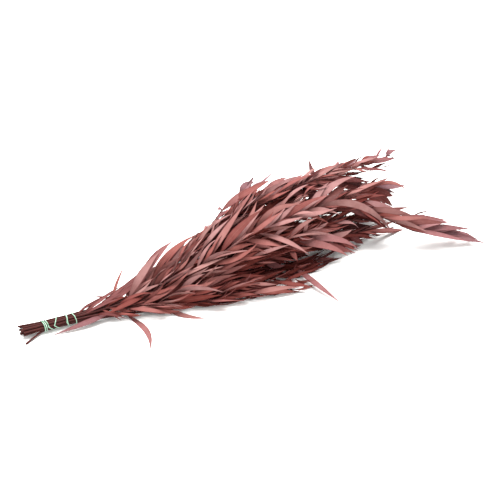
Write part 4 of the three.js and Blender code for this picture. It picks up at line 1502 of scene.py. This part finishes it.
# %% Building the leafy stems
STEM_TONE = (0, 0.25)
TWIG_TONE = (0.5, 0.9)
SHOOT_TONE = 0.2

for index, plant in enumerate(plants):
    bm = bmesh.new()
    layers = add_layers(bm)
    nodes = [blade["rows"][0]["centre"].x for blade in plant["blades"]]
    lay_wood(bm, layers, plant["wood"], STEM_SIDES, nodes, between(*STEM_TONE, draw(index, 61)))
    for order, twig in enumerate(plant["twigs"]):
        tone = between(*TWIG_TONE, draw(index, 62, order))
        lay_wood(bm, layers, twig_wood(twig), TWIG_SIDES, nodes, tone)
    for shoot in plant["shoots"]:
        lay_wood(bm, layers, shoot["wood"], SHOOT_SIDES, (), SHOOT_TONE)
    for blade in plant["blades"]:
        lay_blade(bm, layers, blade)
    mesh = as_mesh(bm, f"eucalyptus_stem_{index + 1:02d}")
    mesh.materials.append(dried_leaf)
    mesh.materials.append(dried_bark)
    piece = add_object(mesh.name, mesh)
    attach(piece, "root")
    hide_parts(node_of(index))
    print(mesh.name, len(plant["blades"]), "leaves,", len(mesh.polygons), "faces")

# %% [markdown]
# ## The path of the string
# A thin twisted string holds the bundle: seven turns, some close together and some far apart, one
# of them slanting back, with a knot at each end. Its place along the stems is told at the back and
# the front of every turn. String runs straight from one outer stem to the next and bends there.
# Walking round the bundle by the way that the string faces gives such a path, because the stem that
# reaches furthest that way carries it.

# %% Path of the string
STRING_HALF_TURNS = (33, 34, 35, 36.5, 38, 39, 61, 47, 70, 66, 73, 65, 76, 79, 79)
STRING_RADIUS = 0.62
FACINGS_A_HALF = 36
STRING_STEP = 0.55
NO_LENGTH = 1e-9


def outer_stem(x, facing):
    """The stem that reaches furthest in a direction, at a place in the tie."""
    return max(range(len(STEMS)), key=lambda index: stem_point(index, x).dot(facing))


def half_turn(number, start, end):
    """Half a turn of the string, going evenly from one place along the stems to the next."""
    angles = [pi * (number + i / FACINGS_A_HALF) for i in range(FACINGS_A_HALF + 1)]
    facings = [Vector((0, cos(angle), sin(angle))) for angle in angles]
    middle = (start + end) / 2
    stems = [outer_stem(middle, facing) for facing in facings]
    reach = STEM_RADIUS + STRING_RADIUS
    flat = [stem_point(index, middle) + facing * reach for index, facing in zip(stems, facings)]
    gone = [0]
    for a, b in zip(flat, flat[1:]):
        gone.append(gone[-1] + (b - a).length)
    places = [between(start, end, way / gone[-1]) for way in gone]
    return [
        (stem_point(index, x) + facing * reach, facing) for index, x, facing in zip(stems, places, facings)
    ]


def string_stations():
    """The string's points, with the way that it faces at each."""
    stations = []
    for number, (start, end) in enumerate(zip(STRING_HALF_TURNS, STRING_HALF_TURNS[1:])):
        stations += half_turn(number, start, end)
    return stations


def evenly(stations, step):
    """The same path at even steps, and its length."""
    spans = [(b[0] - a[0]).length for a, b in zip(stations, stations[1:])]
    length = sum(spans)
    even, walked, leg = [], 0, 0
    for k in range(ceil(length / step) + 1):
        place = min(k * step, length)
        while leg < len(spans) - 1 and walked + spans[leg] < place:
            walked += spans[leg]
            leg += 1
        share = within((place - walked) / max(spans[leg], NO_LENGTH))
        (start, facing), (end, next_facing) = stations[leg], stations[leg + 1]
        even.append((start.lerp(end, share), facing.lerp(next_facing, share).normalized()))
    return even, length


string_route, string_length = evenly(string_stations(), STRING_STEP)
print("string along its turns:", round(string_length), "mm")

# %% [markdown]
# ## The string and its knots
# Two plies wind round the path, each a thin tube, and the groove between them is what makes it
# string and not wire. Each knot is a trefoil, the simplest overhand knot pulled tight, with a short
# cut tail. They share one bmesh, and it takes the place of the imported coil.

# %% String and knots
PLIES = 2
PLY_RADIUS = 0.4
PLY_OFFSET = 0.3
PLY_TWIST = 3.4
PLY_SIDES = 6
KNOT_SIZE = 0.55
KNOT_STEPS = 40
TAIL = (Vector((0, 0, 0)), Vector((1.5, 3.2, 0.8)), Vector((2.4, 5, -0.6)), Vector((2.8, 6, -3.2)))


def lay_ply(bm, layers, stations, phase):
    """Lays one ply round a path of points and facings."""
    centres, outs = [], []
    ways = ways_along([point for point, _ in stations])
    for k, ((point, facing), way) in enumerate(zip(stations, ways)):
        side = way.cross(facing).normalized()
        angle = 2 * pi * k * STRING_STEP / PLY_TWIST + phase
        outs.append(facing * cos(angle) + side * sin(angle))
        centres.append(point + outs[-1] * PLY_OFFSET)
    frames = []
    for centre, out, way in zip(centres, outs, ways_along(centres)):
        direction = way.normalized()
        across = (out - direction * out.dot(direction)).normalized()
        frames.append((centre, across, direction.cross(across), PLY_RADIUS))
    bend_tube(bm, layers, frames, STRING_STEP * len(centres), PLY_SIDES)


def lay_string(bm, layers, stations):
    for ply in range(PLIES):
        lay_ply(bm, layers, stations, 2 * pi * ply / PLIES)


def knot_stations(centre):
    """A trefoil round a point, with the facings away from it."""
    stations = []
    for k in range(KNOT_STEPS + 1):
        t = 2 * pi * k / KNOT_STEPS
        reach = 2 + cos(3 * t)
        spot = Vector((sin(3 * t), reach * cos(2 * t), reach * sin(2 * t))) * KNOT_SIZE
        stations.append((centre + spot, spot.normalized()))
    return stations


bm = bmesh.new()
layers = add_layers(bm)
lay_string(bm, layers, string_route)
for end in (string_route[0][0], string_route[-1][0]):
    knot = end + Vector((0, STRING_RADIUS, 0))
    lay_string(bm, layers, evenly(knot_stations(knot), STRING_STEP)[0])
    lay_string(bm, layers, evenly([(knot + step, UP) for step in TAIL], STRING_STEP)[0])
mesh = as_mesh(bm, "florist_string")
# The tubes carry the bark's place among the materials, and the string has only one.
for face in mesh.polygons:
    face.material_index = 0
print("string:", len(mesh.polygons), "faces")

# %% [markdown]
# ## The finish of the string
# The string is spun from smooth synthetic fibre, pale mint and a deeper green in long patches that
# noise draws along it. Noise stretched along each ply gives the fibres, which are drawn 0.15 mm
# wide, coarser than life, so that they show. The shader has a slight sheen.

# %% String material
FIBRES_PER_MM = 6.6
FIBRE_STRETCH = 0.08
MOTTLE_PER_MM = 0.12
STRING_RELIEF = 0.1


def string_material():
    material, tree, shader = new_material("spun polypropylene string")
    grain = add_node(tree, "ShaderNodeAttribute", attribute_name="grain").outputs["Vector"]
    stretched = add_node(tree, "ShaderNodeMapping", {"Vector": grain, "Scale": (1, 1, FIBRE_STRETCH)})
    fibre = add_node(
        tree, "ShaderNodeTexNoise",
        {"Vector": stretched.outputs["Vector"], "Scale": FIBRES_PER_MM, "Detail": 3.0},
    )
    # Long patches of noise shift the colour between pale mint and a deeper green.
    mottle = add_node(tree, "ShaderNodeTexNoise", {"Vector": grain, "Scale": MOTTLE_PER_MM, "Detail": 2.0})
    shade = add_node(
        tree, "ShaderNodeMath", {0: fibre.outputs["Fac"], 1: 0.5, 2: mottle.outputs["Fac"]},
        operation="MULTIPLY_ADD",
    )
    dye = add_node(
        tree, "ShaderNodeValToRGB", {"Fac": shade.outputs[0]},
        steps=((0.45, "#568f6c"), (0.7, "#92bea1"), (0.95, "#b8d4c2")),
    )
    bump = add_node(
        tree, "ShaderNodeBump",
        {"Height": fibre.outputs["Fac"], "Strength": 0.4, "Distance": STRING_RELIEF * MM},
    )
    connect(tree, shader, {
        "Base Color": dye.outputs["Color"], "Normal": bump.outputs["Normal"],
        "Roughness": 0.45, "Sheen Weight": 0.2,
    })
    return material


mesh.materials.append(string_material())
print("material:", mesh.materials[0].name)
florist_string = add_object(mesh.name, mesh)
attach(florist_string, "root")
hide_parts("binding_string")

# %% [markdown]
# ## Floor and light
# A pale matte floor and a pale world stand in for the white studio table, which the photograph shows
# blown out to white. One large soft light almost overhead gives the leaves their lit upper sides,
# gaps between them that the painted shade in the leaves' colour makes deeper, and a faint shadow
# close to the bunch.

# %% Stage
FLOOR_HALF = 4
WORLD_STRENGTH = 1.4
LIT_POINT = Vector((0, 0, 0.04))


def make_floor():
    bm = bmesh.new()
    bmesh.ops.create_grid(bm, x_segments=1, y_segments=1, size=FLOOR_HALF)
    mesh = as_mesh(bm, "floor")
    material, tree, shader = new_material("matte white studio paper")
    connect(tree, shader, {"Base Color": linear("#fafaf8"), "Roughness": 0.9})
    mesh.materials.append(material)
    floor_piece = add_object("floor", mesh)


def add_light(name, azimuth, elevation, distance, size, watts):
    data = bpy.data.lights.new(name, "AREA")
    data.shape = "DISK"
    data.size = size
    data.energy = watts
    aim(add_object(name, data), azimuth, elevation, distance, LIT_POINT)


make_floor()
add_light("key", azimuth=KEY_AZIMUTH, elevation=radians(78), distance=2.2, size=1.7, watts=120)
world = bpy.data.worlds.new("studio")
world.use_nodes = True
background = world.node_tree.nodes["Background"]
connect(world.node_tree, background, {"Color": (1, 1, 1, 1), "Strength": WORLD_STRENGTH})
bpy.context.scene.world = world
